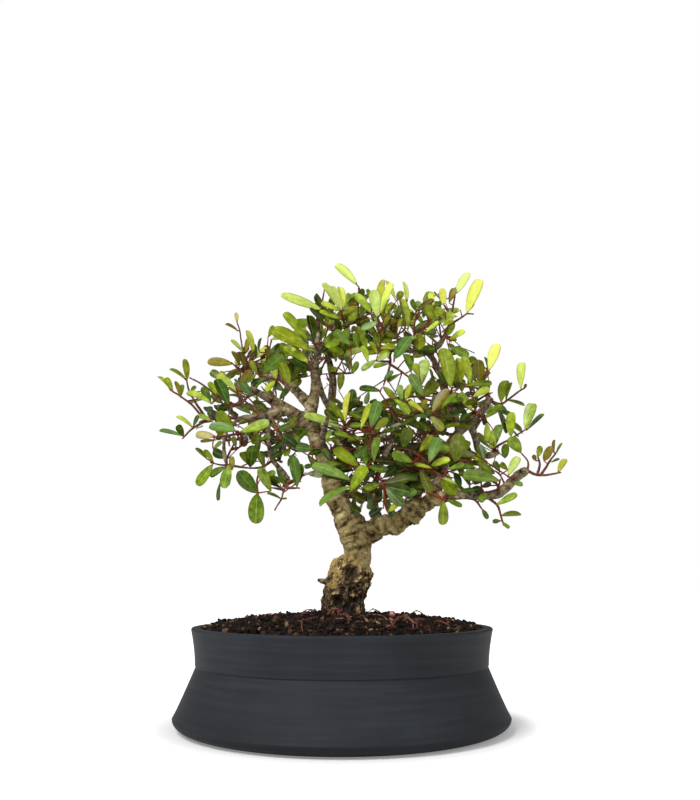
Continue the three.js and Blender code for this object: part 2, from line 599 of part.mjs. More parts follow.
const FRONT_SHOOTS = [
  ["leftStub",
    [[-30, 240, 418, 207, 418, 190, 403, 172, 391], [-36, 209, 420, 192, 429, 184, 437],
     [-32, 205, 414, 191, 395, 187, 381]],
    [[211, 421, 198, 414, 5], [193, 427, 198, 416, 4], [184, 436, 178, 427, 8],
     [183, 436, 160, 428, 3], [193, 428, 177, 415, 4], [170, 389, 157, 375, 2],
     [180, 397, 177, 380, 4.5], [181, 396, 182.5, 384, 5], [173, 391, 166, 378, 6],
     [191, 391, 195, 386, 4], [186, 380, 171, 368, 2], [187, 380, 186.5, 359.5, 6.5]]],
  ["leftLow",
    [[-22, 252, 389, 238, 405, 218, 396, 205, 386, 192, 379], [-20, 240, 403, 237, 391]],
    [[211, 403, 203, 388, 8], [217, 395, 209, 382, 6], [220, 396, 221, 372, 10],
     [228, 405, 218, 379, 11], [236, 391, 222, 377, 6], [252, 396, 242, 383, 8],
     [212, 404, 188, 392, 6]]],
  ["leftHigh",
    [[14, 255, 384, 252, 372, 244, 355, 240, 333, 237, 322], [10, 252, 372, 241, 371, 233, 364],
     [16, 250, 366, 253, 352]],
    [[256, 358, 255, 344, 5], [246, 352, 248, 338, 5], [245, 368, 240, 352, 6],
     [240, 366, 234, 349, 5], [243, 352, 232, 340, 4], [253, 352, 248.5, 330.5, 6],
     [233, 364, 208, 360, 9], [237, 322, 236.5, 312.5, 4], [238, 331, 226, 324, 2],
     [240, 383, 244, 367, 3.5]]],
  ["leftHigh",
    [[6, 272, 378, 266, 363, 271, 343]],
    [[259, 352, 261, 337, 2.5], [268, 361, 266, 349, 4], [262, 374, 281, 355, 14]]],
  ["leftHigh",
    [[2, 284, 380, 287, 386]],
    [[289, 385, 281, 362, 10]]],
  ["leftStub",
    [[-34, 262, 417, 250, 425, 241, 438, 240, 447, 232, 450], [-34, 243, 434, 215, 437],
     [-36, 247, 429, 262, 430]],
    [[213, 449, 222, 442, 4], [236, 447, 233, 437, 5], [258, 432, 254, 444, 8],
     [233, 429, 219, 416, 12], [216, 440, 201, 441, 3], [215, 436, 195, 434.5, 8],
     [236, 431, 209, 424, 10], [240, 432, 269, 423, 10]]],
  ["hangingOuter",
    [[-34, 225, 456, 226, 465, 213, 463], [-36, 226, 465, 229, 482], [-32, 226, 465, 248, 468]],
    [[207, 459, 196, 446.5, 4], [213, 462, 205, 449, 5], [225, 467, 210, 475, 7],
     [220, 483, 216, 500, 1.5], [232, 470, 232, 457, 6], [229, 465, 223, 488, 11],
     [213, 464, 197.5, 485, 10]]],
  ["hanging",
    [[-30, 272, 463, 262, 467, 251, 468], [-36, 262, 467, 257, 480, 258, 493]],
    [[250, 467, 253, 448, 14], [271, 491, 260, 469, 10], [257, 493, 239, 474, 15],
     [257, 494, 255, 521, 16]]],
  ["hanging",
    [[-32, 289, 479, 284, 490, 281, 500, 276, 508], [-30, 284, 489, 273, 488],
     [-26, 286, 487, 297, 488]],
    [[285, 485, 273, 476, 4], [281, 499, 268, 492, 2.5], [281, 499, 287, 498, 1.5],
     [312, 489, 291, 490, 8], [297, 487, 295, 456, 11]]],
  ["leftStub",
    [[-24, 270, 415, 282, 440, 297, 451, 310, 449]],
    [[300, 448, 282, 436, 10], [282, 442, 275, 447, 6], [290, 448, 285, 456, 6],
     [313, 465, 305, 467, 5], [290, 424, 280, 430, 7], [313, 449, 297, 447, 9]]],
  ["trunk",
    [[-9, 314, 372, 308, 360, 308, 341]],
    [[308, 368, 294, 359, 10], [308, 341, 285.5, 312.5, 9], [293, 357, 284, 345, 6],
     [310, 351, 276, 327.5, 14], [308, 362, 293, 350, 8]]],
  ["trunk",
    [[-2, 318, 323, 321, 309, 324, 292]],
    [[321, 309.5, 283, 294, 9]]],
  ["trunk",
    [[-9, 317, 348, 313, 342]],
    [[314, 342, 309, 314, 9]]],
  ["second",
    [[4, 327, 352, 338, 340, 348, 326, 357, 302, 360, 290, 357, 285], [-2, 346, 330, 341, 312],
     [0, 336, 343, 331, 326]],
    [[326, 326, 312, 308, 3], [343, 347, 347, 329, 8], [341, 343, 327, 352, 10],
     [340, 319, 320, 311, 5], [340, 311, 322, 302, 5.5], [341, 310, 327, 283, 7],
     [342, 310, 333, 285, 6], [342.5, 309, 338.5, 284.5, 7.5], [343, 332, 325, 346, 14],
     [349, 325, 351.5, 288.5, 13], [357, 285, 336.5, 266.5, 8.5]]],
  ["arch",
    [[-4, 381, 350, 379, 335, 378, 318], [-8, 379, 333, 371, 314], [2, 379, 330, 390, 322, 388, 316]],
    [[372, 303, 368.5, 289.5, 4], [383, 316, 388.5, 296, 4], [380, 315, 380.5, 280, 8],
     [371, 313, 357, 294, 8], [361, 317, 367, 308, 4], [396, 301, 386, 278, 4],
     [381, 313, 388, 284, 7], [378, 322, 362, 329, 7], [366, 350, 360, 322, 9],
     [374, 344, 366, 333, 5], [377, 317, 375, 291, 12]]],
  ["arch",
    [[-14, 388, 352, 390, 364, 384, 384], [-12, 390, 362, 376, 361], [-12, 390, 364, 412, 379]],
    [[368, 362, 363, 345, 6], [388, 364, 373, 366, 5], [376, 360, 361, 370, 6],
     [376, 361, 388, 353, 6], [384, 381, 392, 371, 5], [400, 374, 387, 381.5, 4]]],
  ["arch",
    [[0, 399, 350, 398, 335, 405, 328, 407, 302]],
    [[403.5, 326, 401, 300, 3], [396, 338, 398, 301, 8], [406, 302, 405, 280, 5],
     [408, 330, 402, 299, 5]]],
  ["arch",
    [[-10, 397, 350, 394, 361]],
    [[394, 359, 411, 336, 12]]],
  ["arch",
    [[2, 413, 351, 414, 332, 416, 312], [-2, 414, 333, 434, 324, 443, 321]],
    [[434, 306, 430, 294, 6], [428, 318, 421, 306, 4], [417, 311, 431.5, 299, 6],
     [436, 321, 428, 307, 9], [446, 319, 443.5, 312, 4], [437, 324, 445, 319.5, 4],
     [425, 333, 438, 321, 4], [414, 331, 432, 316, 6], [413, 330, 410, 305, 8],
     [414, 332, 430, 323, 5], [419, 333, 421, 352, 11]]],
  ["archTip",
    [[6, 449, 325, 454, 302, 455, 290], [4, 450, 320, 445, 306, 436, 294],
     [2, 450, 326, 462, 317, 467, 314, 471, 314], [6, 450, 322, 446, 334, 450, 340]],
    [[449, 303, 454, 289, 6.5], [444, 305, 442, 289, 7.5], [457, 293, 469, 270, 8.5],
     [467, 312, 474.5, 301, 5], [467, 313, 478, 281, 11.5], [450, 340, 466, 331, 5.5]]],
  ["arch",
    [[-14, 446, 388, 434, 400, 422, 398]],
    [[411, 372, 405, 352, 7], [420, 378, 414, 365, 7], [421, 386, 425, 357, 12],
     [424, 396, 437, 378, 13], [424, 397, 411, 375, 10]]],
  ["arch",
    [[-16, 449, 398, 452, 388], [-14, 450, 396, 440, 411]],
    [[441, 409, 455, 391, 6], [433, 412, 447, 388, 10], [450, 387, 446, 347, 15]]],
  ["rightUp",
    [[2, 475, 417, 474, 400, 469, 386], [4, 474, 402, 483, 383, 489, 371]],
    [[460, 383, 458, 358, 9], [470, 385, 466, 356, 8], [465, 386, 490, 381, 6],
     [480, 383, 478, 363, 11], [488, 371, 485, 356, 3], [489, 371, 497, 342.5, 11],
     [472, 411, 461, 392, 8]]],
  ["rightUp",
    [[0, 480, 413, 485, 419]],
    [[485, 418, 503, 405, 7]]],
  ["rightUp",
    [[8, 488, 400, 500, 404, 507, 400, 520, 391, 524, 388]],
    [[506, 400, 511, 383, 2], [507, 400, 525, 405, 2], [501, 402, 505, 377.5, 10.5],
     [521, 389, 521.5, 363.5, 8.5], [524, 389, 526, 385, 3]]],
  ["spur",
    [[0, 490, 455, 496, 447, 510, 439, 525, 430]],
    [[505, 458, 505, 446, 8], [495, 447, 499, 423, 9], [511, 437, 511, 412, 9.5],
     [527, 430, 544, 412, 3.5], [525, 430, 535, 402, 11]]],
  ["right",
    [[-26, 526, 471, 537, 475, 548, 475, 558, 473], [-30, 541, 475, 548, 464, 556, 453],
     [-24, 537, 475, 540, 464, 538, 457], [-20, 527, 471, 528, 462, 521, 453]],
    [[521, 453, 511, 437, 12], [552, 462, 560, 458, 2.5], [554, 453, 555, 440, 3],
     [556, 453, 562, 443, 1.5], [536, 461, 533, 455, 5], [538, 457, 541, 447, 6],
     [544, 461, 550, 448, 8], [558, 473, 565, 457, 6.5]]],
  ["right",
    [[-30, 517, 476, 509, 477]],
    [[512, 482, 524, 485, 5], [508, 476, 518, 457, 8.5]]],
  ["right",
    [[-22, 486, 496, 497, 505, 501, 517, 503, 523]],
    [[500, 521, 493, 521, 4.5], [502, 522, 509, 528, 3.5], [501, 516, 522, 511, 6],
     [496, 505, 516, 494, 7]]],
  ["right",
    [[-20, 466, 496, 476, 501, 482, 509]],
    [[482, 509, 488, 518, 5]]],
  ["right",
    [[-32, 495, 494, 500, 481]],
    [[491, 492, 497, 483, 8], [500, 481, 464, 474, 12]]],
  ["right",
    [[-30, 489, 495, 487, 492]],
    [[487, 493, 479, 501, 9]]],
  ["right",
    [[-22, 448, 497, 444, 500]],
    [[447, 500, 462, 506, 5], [443, 500, 444, 525, 10]]],
  ["rightUp",
    [[-26, 439, 482, 431, 468, 415, 452, 396, 448], [-28, 433, 472, 445, 478]],
    [[415, 466, 397, 462, 4], [413, 462, 392, 454, 10], [432, 468, 415, 464, 3],
     [420, 470, 432, 492, 10], [403, 448, 408, 430, 13], [420, 452, 433, 434, 8],
     [431, 466, 449, 459, 7], [429, 463, 437, 439, 12], [442, 480, 455, 494, 12],
     [442, 478, 455, 482, 2.5]]],
  ["rightUp",
    [[-20, 448, 450, 455, 460]],
    [[455, 462, 460, 438, 16]]],
  ["right",
    [[-14, 505, 487, 500, 475, 493, 470]],
    [[508, 470, 500, 463, 6], [500, 472, 494, 462, 6], [493, 472, 478, 463, 8]]],
  ["middle",
    [[-42, 381, 464, 362, 468, 352, 479, 350, 489]],
    [[350, 482, 322, 474, 6], [358, 466, 334, 448, 12], [350, 492, 364, 466, 12],
     [350, 480, 314, 461, 11], [351, 487, 318, 502, 6]]],
  ["middle",
    [[-32, 377, 476, 384, 487]],
    [[383, 478, 398, 467, 9], [384, 484, 410, 479, 10], [381, 484, 362, 490, 8],
     [384, 486, 410, 492, 12], [388, 512, 397, 504, 6], [386, 488, 402, 505, 11],
     [405, 500, 416, 488, 8]]],
  ["middle",
    [[-34, 386, 454, 375, 460, 370, 445, 372, 429]],
    [[371, 460, 366, 438, 8], [374, 462, 378, 438, 8], [374, 430, 387, 419, 8],
     [361, 429, 370, 404, 7], [371, 427, 378, 402, 12]]],
  ["middle",
    [[-28, 400, 424, 405, 416, 416, 411], [-26, 400, 424, 390, 408, 380, 392]],
    [[380, 391, 360, 387, 6], [383, 387, 397, 399, 7], [388, 405, 405, 398, 8],
     [402, 400, 399, 386, 7], [406, 400, 411, 385, 6], [421, 411, 426, 398, 5],
     [394, 399, 410, 414, 7], [424, 413, 409, 402, 5]]],
  ["rightUp",
    [[-20, 443, 466, 438, 455, 438, 435, 431, 417]],
    [[438, 411, 425, 413, 6], [430, 416, 444, 429, 9]]],
  ["second",
    [[-14, 341, 438, 344, 430, 345, 423]],
    [[338, 421, 325, 411, 8], [344, 421, 330, 403, 6], [346, 432, 360, 445, 8],
     [345.5, 423, 348, 390, 4.5], [341, 428, 306, 412.5, 8]]],
  ["second",
    [[0, 345, 444, 358, 424, 351, 412]],
    [[350, 411, 352.5, 392, 10]]],
  ["trunk",
    [[-20, 324, 464, 331, 461, 331, 446]],
    [[330, 460, 335, 440, 12], [331, 462, 324, 449, 7], [326, 440, 331, 430, 5]]],
  ["second",
    [[8, 332, 378, 343, 360, 352, 352], [4, 334, 374, 352, 373]],
    [[352, 373, 358, 363, 6], [342, 358, 361, 349, 6]]],
];

// A twig through its spots, from the line that carries it, moved in depth until it is clear.
function growStem(shoot, carrier, [depth, ...numbers]) {
  const spots = [];
  for (let i = 0; i < numbers.length; i += 2) spots.push([numbers[i], numbers[i + 1]]);
  const foot = nearestSeen(carrier, ...spots[0]);
  const travelled = [0];
  for (let i = 1; i < spots.length; i++) {
    const step = Math.hypot(spots[i][0] - spots[i - 1][0], spots[i][1] - spots[i - 1][1]);
    travelled.push(travelled[i - 1] + step);
  }
  const near = ({ owner, centre }) =>
    owner === shoot || (owner in LIMBS && centre.distanceTo(foot) < FOOT_ZONE);
  for (const shift of STEM_SHIFTS) {
    const points = spots.map((spot, i) => {
      if (i === 0) return foot;
      const share = travelled[i] / travelled[spots.length - 1];
      return fromView(...spot, THREE.MathUtils.lerp(foot.y, depth + shift, share));
    });
    const fine = stepped(points, STEM_STEP);
    if (fine.slice(1).every((point) => clearOf(point, STEM_RADIUS[0], near))) {
      return { points, fine };
    }
  }
  return null;
}

// A leaflet over its spots, with its base at a depth. It leans to or from the eye as its seen
// width and length ask, and is turned on its midrib with its upper side up.
function layOutLeaflet([baseAcross, baseDown, tipAcross, tipDown, seenWidth], depth, drawn) {
  const base = fromView(baseAcross, baseDown, depth);
  const { unit } = inView(base);
  const length = Math.hypot(tipAcross - baseAcross, tipDown - baseDown) * unit;
  const width = seenWidth * unit;
  const fullLength = Math.min(width / LEAFLET_WIDTH_SHARE, LONGEST_SHARE * length);
  let { lean } = drawn;
  if (fullLength * Math.cos(lean) > length) {
    lean = Math.acos(length / fullLength) * (drawn.forward ? -1 : 1);
  }
  const size = length / Math.cos(lean);
  const tip = fromView(tipAcross, tipDown, depth + size * Math.sin(lean));
  const way = tip.clone().sub(base).normalize();
  const eyeward = EYE.clone().sub(base).normalize();
  const aside = way.clone().cross(eyeward).normalize();
  const flat = aside.clone().cross(way);
  const breadth = LEAFLET_WIDTH_SHARE * size;
  const roll = Math.min(STEEPEST_ROLL, Math.acos(Math.min(1, width / breadth)));
  const upward = aside.z * drawn.side > 0 ? 1 : -1;
  const face = flat
    .clone()
    .multiplyScalar(Math.cos(roll))
    .addScaledVector(aside, Math.sin(roll) * upward * drawn.side);
  const across = face.clone().cross(way);
  return { base, way, face, across, size, breadth, droop: drawn.droop };
}

const onFrontLeaflet = (leaflet, share, off) =>
  leaflet.base
    .clone()
    .addScaledVector(leaflet.way, share * leaflet.size)
    .addScaledVector(leaflet.across, off)
    .addScaledVector(leaflet.face, -leaflet.droop * leaflet.size * share * share);

// Balls over a leaflet, in rows: a row's share of the length, and of the full breadth there.
const LEAFLET_ROWS = [[0.12, 0.35], [0.3, 0.7], [0.48, 0.95], [0.66, 1], [0.84, 0.85], [1, 0.4]];
const ROW_SPOTS = [-0.36, 0, 0.36];
const BALL_SHARE = 0.115; // of its length

function ballsOfLeaflet(leaflet, root) {
  const radius = BALL_SHARE * leaflet.size;
  const over = LEAFLET_ROWS.flatMap(([share, width], i) =>
    ROW_SPOTS.map((spot) => ({
      centre: onFrontLeaflet(leaflet, share, spot * width * leaflet.breadth),
      radius,
      nearRoot: i === 0,
    })),
  );
  const stalk = stepped([root, leaflet.base], STEM_STEP)
    .slice(1)
    .map((centre) => ({ centre, radius: STALK_HALF, nearRoot: true }));
  return [...over, ...stalk];
}

function growLeaflet(shoot, row) {
  const line = shoot.stems.flatMap((stem) => stem.fine);
  const root = nearestSeen(line, row[0], row[1]);
  const ownNearby = (ball) => ball.owner === shoot;
  const never = () => false;
  for (let attempt = 0; attempt < 2 * LEAFLET_TRIES; attempt++) {
    const away = attempt < LEAFLET_TRIES ? -attempt : attempt - LEAFLET_TRIES + 1;
    const drawn = {
      lean: between(-LEAFLET_LEAN, LEAFLET_LEAN),
      forward: draw() < FAVOURED,
      side: draw() < FAVOURED ? 1 : -1,
      droop: between(...LEAFLET_DROOP),
    };
    const leaflet = layOutLeaflet(row, root.y + away * LEAFLET_STEP, drawn);
    const stalkWay = leaflet.base.clone().sub(root).normalize();
    if (stalkWay.dot(leaflet.way) < SHARPEST_BEND) continue;
    const own = ballsOfLeaflet(leaflet, root);
    const free = ({ centre, radius, nearRoot }) =>
      clearOf(centre, radius, nearRoot ? ownNearby : never);
    if (!own.every(free)) continue;
    for (const ball of own) balls.push({ ...ball, owner: shoot });
    return { ...leaflet, root };
  }
  return null;
}

const frontShoots = FRONT_SHOOTS.map(([limb, stems, rows]) => {
  const shoot = { limb, rows, stems: [] };
  let carrier = stepped(LIMBS[limb].map(([x, y, z]) => vector(x, y, z)), STEM_STEP);
  for (const numbers of stems) {
    const stem = growStem(shoot, carrier, numbers);
    if (!stem) continue;
    shoot.stems.push(stem);
    carrier = shoot.stems.flatMap(({ fine }) => fine);
    for (const centre of stem.fine) {
      balls.push({ centre, radius: STEM_RADIUS[0], owner: shoot });
    }
  }
  return shoot;
});

for (const shoot of frontShoots) {
  shoot.leaflets = shoot.rows.map((row) => growLeaflet(shoot, row)).filter(Boolean);
}

// Back shoots. Each starts on a limb, at a share of its length, and forks into a twig for each tip.
// A tip is [x, y, z, leaves, leaflet length].

const BACK_SHOOTS = [
  ["leftLow", 0.9, [-70, 24, 214, 1, 15]],
  ["second", 0.95, [-12, 34, 282, 1, 17], [-26, 38, 262, 1, 16]],
  ["arch", 0.68, [50, 28, 272, 1, 16], [16, 26, 262, 1, 16]],
  ["rightUp", 1, [96, 30, 232, 1, 17], [112, 22, 206, 1, 17]],
  ["backLeft", 1, [-62, 62, 212, 1, 16], [-46, 74, 234, 1, 16]],
  ["backLeft", 0.6, [-54, 44, 188, 2, 16]],
  ["backMiddle", 1, [-2, 80, 270, 1, 16], [-38, 78, 260, 1, 16]],
  ["backRight", 1, [74, 72, 208, 1, 16], [46, 76, 200, 1, 16]],
  ["backRight", 0.62, [84, 52, 174, 1, 16]],
];

// Twigs first, then the leaves on them.
const backShoots = BACK_SHOOTS.map(([limb, share, ...tips]) => {
  const middle = tips
    .reduce((sum, [x, y, z]) => sum.add(vector(x, y, z)), vector(0, 0, 0))
    .divideScalar(tips.length);
  const shoot = { limb, twigs: [] };
  let foot = onLimb(limb, share);
  const way = middle.sub(foot).normalize();
  for (const [x, y, z, leaves, length] of tips) {
    const amongLeaves = vector(x, y, z);
    const back = foot.clone().sub(amongLeaves).setLength(TIP_SHORTFALL);
    const twig = growTwig(shoot, foot, way, amongLeaves.add(back));
    if (!twig) continue;
    shoot.twigs.push(Object.assign(twig, { leaves, length }));
    foot = bezier(shoot.twigs[0], FORK_SHARE);
    for (let k = 0; k <= TWIG_STEPS; k++) {
      const centre = bezier(twig, k / TWIG_STEPS);
      balls.push({ centre, radius: TWIG_ROOT_RADIUS, owner: shoot, twig });
    }
  }
  return shoot;
});

for (const twig of backShoots.flatMap((shoot) => shoot.twigs)) {
  const turn = between(0, 2 * Math.PI);
  twig.grown = [];
  for (let k = 0; k < twig.leaves; k++) {
    const share = 1 - (LEAFY_SHARE * k) / twig.leaves;
    const leaf = growLeaf(twig, share, turn + k * GOLDEN_TURN);
    if (!leaf) continue;
    balls.push(...ballsOf(leaf));
    twig.grown.push(leaf);
  }
}

// A leaf as one thin closed blade: its stalk, with a leaflet let into the edge at each pair.
function bladeOf(leaf) {
  const points = [];
  const faces = [];
  const add = (point) => points.push(point) - 1;
  const stations = [-leaf.sunk];
  for (let pair = 0; pair < leaf.pairs; pair++) {
    const from = PETIOLE + pair * PAIR_SPACING;
    stations.push(from, from + LEAFLET_BASE);
  }
  const halfWidth = (s) => (s <= 0 ? STALK_ROOT_HALF_WIDTH : STALK_HALF_WIDTH);
  const left = stations.map((s) =>
    add(leaf.stalkAt(s).addScaledVector(leaf.side, halfWidth(s))),
  );
  const right = stations.map((s) =>
    add(leaf.stalkAt(s).addScaledVector(leaf.side, -halfWidth(s))),
  );
  const quad = (a, b, c, d) => faces.push([a, b, c], [a, c, d]);
  for (let i = 0; i + 1 < stations.length; i++) {
    quad(right[i], right[i + 1], left[i + 1], left[i]);
  }
  for (const leaflet of leaf.leaflets) {
    const near = 1 + 2 * leaflet.pair;
    const half = (LEAFLET_WIDTH_SHARE * leaflet.size) / 2;
    const at = (share, off) => add(onLeaflet(leaf, leaflet, share, off));
    const [middle, end] = LEAFLET_OUTLINE.map(([share, width]) => [
      at(share, half * width),
      at(share, -half * width),
    ]);
    if (leaflet.hand === 1) quad(left[near], left[near + 1], middle[1], middle[0]);
    else quad(right[near + 1], right[near], middle[1], middle[0]);
    quad(middle[0], middle[1], end[1], end[0]);
  }
  return thickened(points, faces, leaf.face, BLADE_THICK);
}

// A sheet of triangles given a thickness along one direction, closed round its edge.
function thickened(points, faces, direction, thickness) {
  const position = [];
  for (const half of [0.5, -0.5]) {
    for (const point of points) {
      const moved = point.clone().addScaledVector(direction, half * thickness);
      position.push(moved.x, moved.y, moved.z);
    }
  }
  const count = points.length;
  const edges = new Set();
  for (const [a, b, c] of faces) {
    for (const [from, to] of [[a, b], [b, c], [c, a]]) edges.add(from + "," + to);
  }
  const index = [];
  for (const [a, b, c] of faces) {
    index.push(a, b, c);
    index.push(count + a, count + c, count + b);
  }
  for (const edge of edges) {
    const [from, to] = edge.split(",").map(Number);
    if (edges.has(to + "," + from)) continue;
    index.push(from, count + from, to);
    index.push(to, count + from, count + to);
  }
  const geometry = new THREE.BufferGeometry();
  geometry.setAttribute("position", new THREE.Float32BufferAttribute(position, 3));
  geometry.setIndex(index);
  return geometry;
}

// A leaflet with its stalk as one closed blade of four sections: where the stalk starts, where it
// meets the leaflet, the leaflet's widest place and its blunt tip.
function frontBladeOf(leaflet) {
  const { root, base, way, face, across, breadth } = leaflet;
  const thick = BLADE_THICK / 2;
  const seated = base.distanceTo(root) < STALK_HALF;
  const stalkWay = seated ? way.clone() : base.clone().sub(root).normalize();
  const start = seated ? base.clone().addScaledVector(way, -STALK_HALF) : root.clone();
  const mitre = stalkWay.clone().add(way).normalize();
  const squareTo = (direction) => {
    const aside = across.clone().addScaledVector(direction, -across.dot(direction));
    if (aside.length() < NEARLY_ALONG) aside.copy(face).cross(direction);
    aside.normalize();
    return [aside, direction.clone().cross(aside)];
  };
  const sections = [
    [start, ...squareTo(stalkWay), ...STALK_ROOT],
    [base, ...squareTo(mitre), STALK_HALF, thick],
    ...LEAFLET_OUTLINE.map(([share, width]) => [
      onFrontLeaflet(leaflet, share, 0),
      across,
      face,
      (width * breadth) / 2,
      thick,
    ]),
  ];
  const position = sections.flatMap(([centre, aside, up, half, halfThick]) =>
    [[1, 1], [-1, 1], [-1, -1], [1, -1]].flatMap(([a, b]) =>
      centre
        .clone()
        .addScaledVector(aside, a * half)
        .addScaledVector(up, b * halfThick)
        .toArray(),
    ),
  );
  const index = [0, 2, 1, 0, 3, 2];
  const last = 4 * (sections.length - 1);
  for (let from = 0; from < last; from += 4) {
    for (let i = 0; i < 4; i++) {
      const [a, b] = [from + i, from + ((i + 1) % 4)];
      index.push(a, b, b + 4, a, b + 4, a + 4);
    }
  }
  index.push(last, last + 1, last + 2, last, last + 2, last + 3);
  const geometry = new THREE.BufferGeometry();
  geometry.setAttribute("position", new THREE.Float32BufferAttribute(position, 3));
  geometry.setIndex(index);
  return geometry;
}

function frontPieces({ stems, leaflets }) {
  const twigs = stems.map(({ points }) => {
    const last = points.length - 1;
    const spine = points.map((point, i) => [
      ...point.toArray(),
      THREE.MathUtils.lerp(...STEM_RADIUS, i / last),
    ]);
    return limbOf(spine, TWIG_SIDES);
  });
  return [...twigs, ...leaflets.map(frontBladeOf)];
}

function backPieces(shoot) {
  return shoot.twigs.flatMap((twig) => {
    const spine = [0, FORK_SHARE, 1].map((share) => [
      ...bezier(twig, share).toArray(),
      THREE.MathUtils.lerp(TWIG_ROOT_RADIUS, TWIG_TIP_RADIUS, share),
    ]);
    return [limbOf(spine, TWIG_SIDES), ...twig.grown.map(bladeOf)];
  });
}

function makeShoot(pieces, number, wood) {
  const name = "leafy_shoot_" + String(number).padStart(2, "0");
  return meshOf(name, wasm.Manifold.union(pieces.map(solidOf)).subtract(wood), LEAF);
}

const bonsai = new THREE.Group();
const fatWood = woodSolid(GAP);
const shoots = [...frontShoots.map(frontPieces), ...backShoots.map(backPieces)];
bonsai.add(
  makePot(),
  makeScreen("drain_screen_left", -DRAIN_OFFSET),
  makeScreen("drain_screen_right", DRAIN_OFFSET),
  makeSoil(fatWood),
  meshOf("trunk_and_limbs", woodSolid(0), BARK),
  ...shoots.map((pieces, i) => makeShoot(pieces, i + 1, fatWood)),
);

export default bonsai;
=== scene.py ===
import math
import random

import bmesh
import bpy
import numpy as np
from mathutils import Matrix, Vector, noise


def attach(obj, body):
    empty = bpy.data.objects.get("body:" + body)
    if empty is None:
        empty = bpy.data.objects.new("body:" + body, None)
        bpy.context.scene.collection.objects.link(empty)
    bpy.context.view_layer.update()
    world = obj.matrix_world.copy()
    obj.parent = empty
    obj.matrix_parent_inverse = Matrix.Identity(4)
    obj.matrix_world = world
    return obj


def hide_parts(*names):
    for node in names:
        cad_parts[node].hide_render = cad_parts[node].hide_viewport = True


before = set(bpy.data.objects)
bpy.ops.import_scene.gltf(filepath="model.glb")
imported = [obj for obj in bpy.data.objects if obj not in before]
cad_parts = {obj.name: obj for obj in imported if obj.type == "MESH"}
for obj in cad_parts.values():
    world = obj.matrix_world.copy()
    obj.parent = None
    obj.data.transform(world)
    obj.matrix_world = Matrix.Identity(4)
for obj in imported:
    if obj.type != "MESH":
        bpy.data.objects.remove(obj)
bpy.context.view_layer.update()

# Pot. Round, of dark grey stoneware, thrown on the wheel and fired without a glaze. The belly leans
# out to its foot, the waist is pinched to a crease, and above it a collar flares to the rim. Two
# drain holes go through the floor.

MM = 0.001  # every size below is in millimetres, and every object in metres

POT_RIM = 95.6
POT_HEIGHT = 60
POT_LIP = 1.1
POT_WALL = 6
COLLAR_FOOT = (92.5, 37.7)
COLLAR_FLARE = 1.6
CREASE = (91.9, 36.9)
BELLY = (105, 6.7)
BELLY_LEAN = 0.93
UNDERSIDE = 91.7
POT_INSIDE = [(87, 47), (86, 37), (97, 12), (95.5, 8), (91, 6), (0, 6)]
FOOT_STEPS = 8
SIDE_STEPS = 12
LIP_STEPS = 4
POT_TURNS = 160
THROWN_WAVES = ((14, 1), (37, 0.5))  # to a metre, and how strong
THROWN_UNEVENNESS = 0.0022  # share of the radius
DRAIN_HOLE = 14
DRAIN_PLACES = (-42, 42)
DRAIN_TURNS = 40


def linear(colour):
    """A hex colour as the linear values that a shader takes."""
    parts = [int(colour[i : i + 2], 16) / 255 for i in (1, 3, 5)]
    return [*((p / 12.92 if p < 0.04045 else ((p + 0.055) / 1.055) ** 2.4) for p in parts), 1]


def join(node, links):
    """Fills a node's inputs. A link is an input with a node, a socket or a value."""
    for name, value in links:
        if isinstance(value, bpy.types.Node):
            value = next(socket for socket in value.outputs if socket.enabled)
        if isinstance(value, bpy.types.NodeSocket):
            node.id_data.links.new(value, node.inputs[name])
        else:
            node.inputs[name].default_value = value


def add(tree, kind, links=(), stops=(), **settings):
    """A shader node with its settings, its links and, on a colour ramp, its stops."""
    node = tree.nodes.new("ShaderNode" + kind)
    for name, value in settings.items():
        setattr(node, name, value)
    join(node, links)
    for i, (place, colour) in enumerate(stops):
        elements = node.color_ramp.elements
        stop = elements[i] if i < 2 else elements.new(place)
        stop.position = place
        stop.color = linear(colour)
    return node


def material(name, roughness, gloss=0.5):
    """A new material, with its node tree, its Principled shader and the piece's own coordinates."""
    made = bpy.data.materials.new(name)
    made.use_nodes = True
    tree = made.node_tree
    tree.nodes.clear()
    shader = add(tree, "BsdfPrincipled", [("Roughness", roughness), ("Specular IOR Level", gloss)])
    add(tree, "OutputMaterial", [("Surface", shader)])
    return made, tree, shader, add(tree, "TexCoord").outputs["Object"]


def piece(name, bm, *finishes):
    """A mesh object from a bmesh, with its materials."""
    mesh = bpy.data.meshes.new(name)
    bm.to_mesh(mesh)
    bm.free()
    made = bpy.data.objects.new(name, mesh)
    bpy.context.scene.collection.objects.link(made)
    for finish in finishes:
        mesh.materials.append(finish)
    return made


def settle(made):
    """Applies an object's modifiers to its mesh."""
    seen = made.evaluated_get(bpy.context.evaluated_depsgraph_get())
    mesh = bpy.data.meshes.new_from_object(seen)
    made.modifiers.clear()
    made.data = mesh


def turned(bm, profile, turns):
    """Spins a profile of (radius, height) points round the Z axis."""
    verts = [bm.verts.new((r * MM, 0, z * MM)) for r, z in profile]
    edges = [bm.edges.new(pair) for pair in zip(verts, verts[1:])]
    bmesh.ops.spin(
        bm, geom=verts + edges, axis=(0, 0, 1), cent=(0, 0, 0), angle=math.tau,
        steps=turns, use_merge=True, use_duplicate=False,
    )
    bmesh.ops.remove_doubles(bm, verts=bm.verts, dist=0.01 * MM)
    bmesh.ops.recalc_face_normals(bm, faces=bm.faces)


def shade(bm, sharpest):
    """Smooth faces, with the edges sharper than an angle in degrees left crisp."""
    for face in bm.faces:
        face.smooth = True
    for edge in bm.edges:
        edge.smooth = edge.calc_face_angle(0) < math.radians(sharpest)


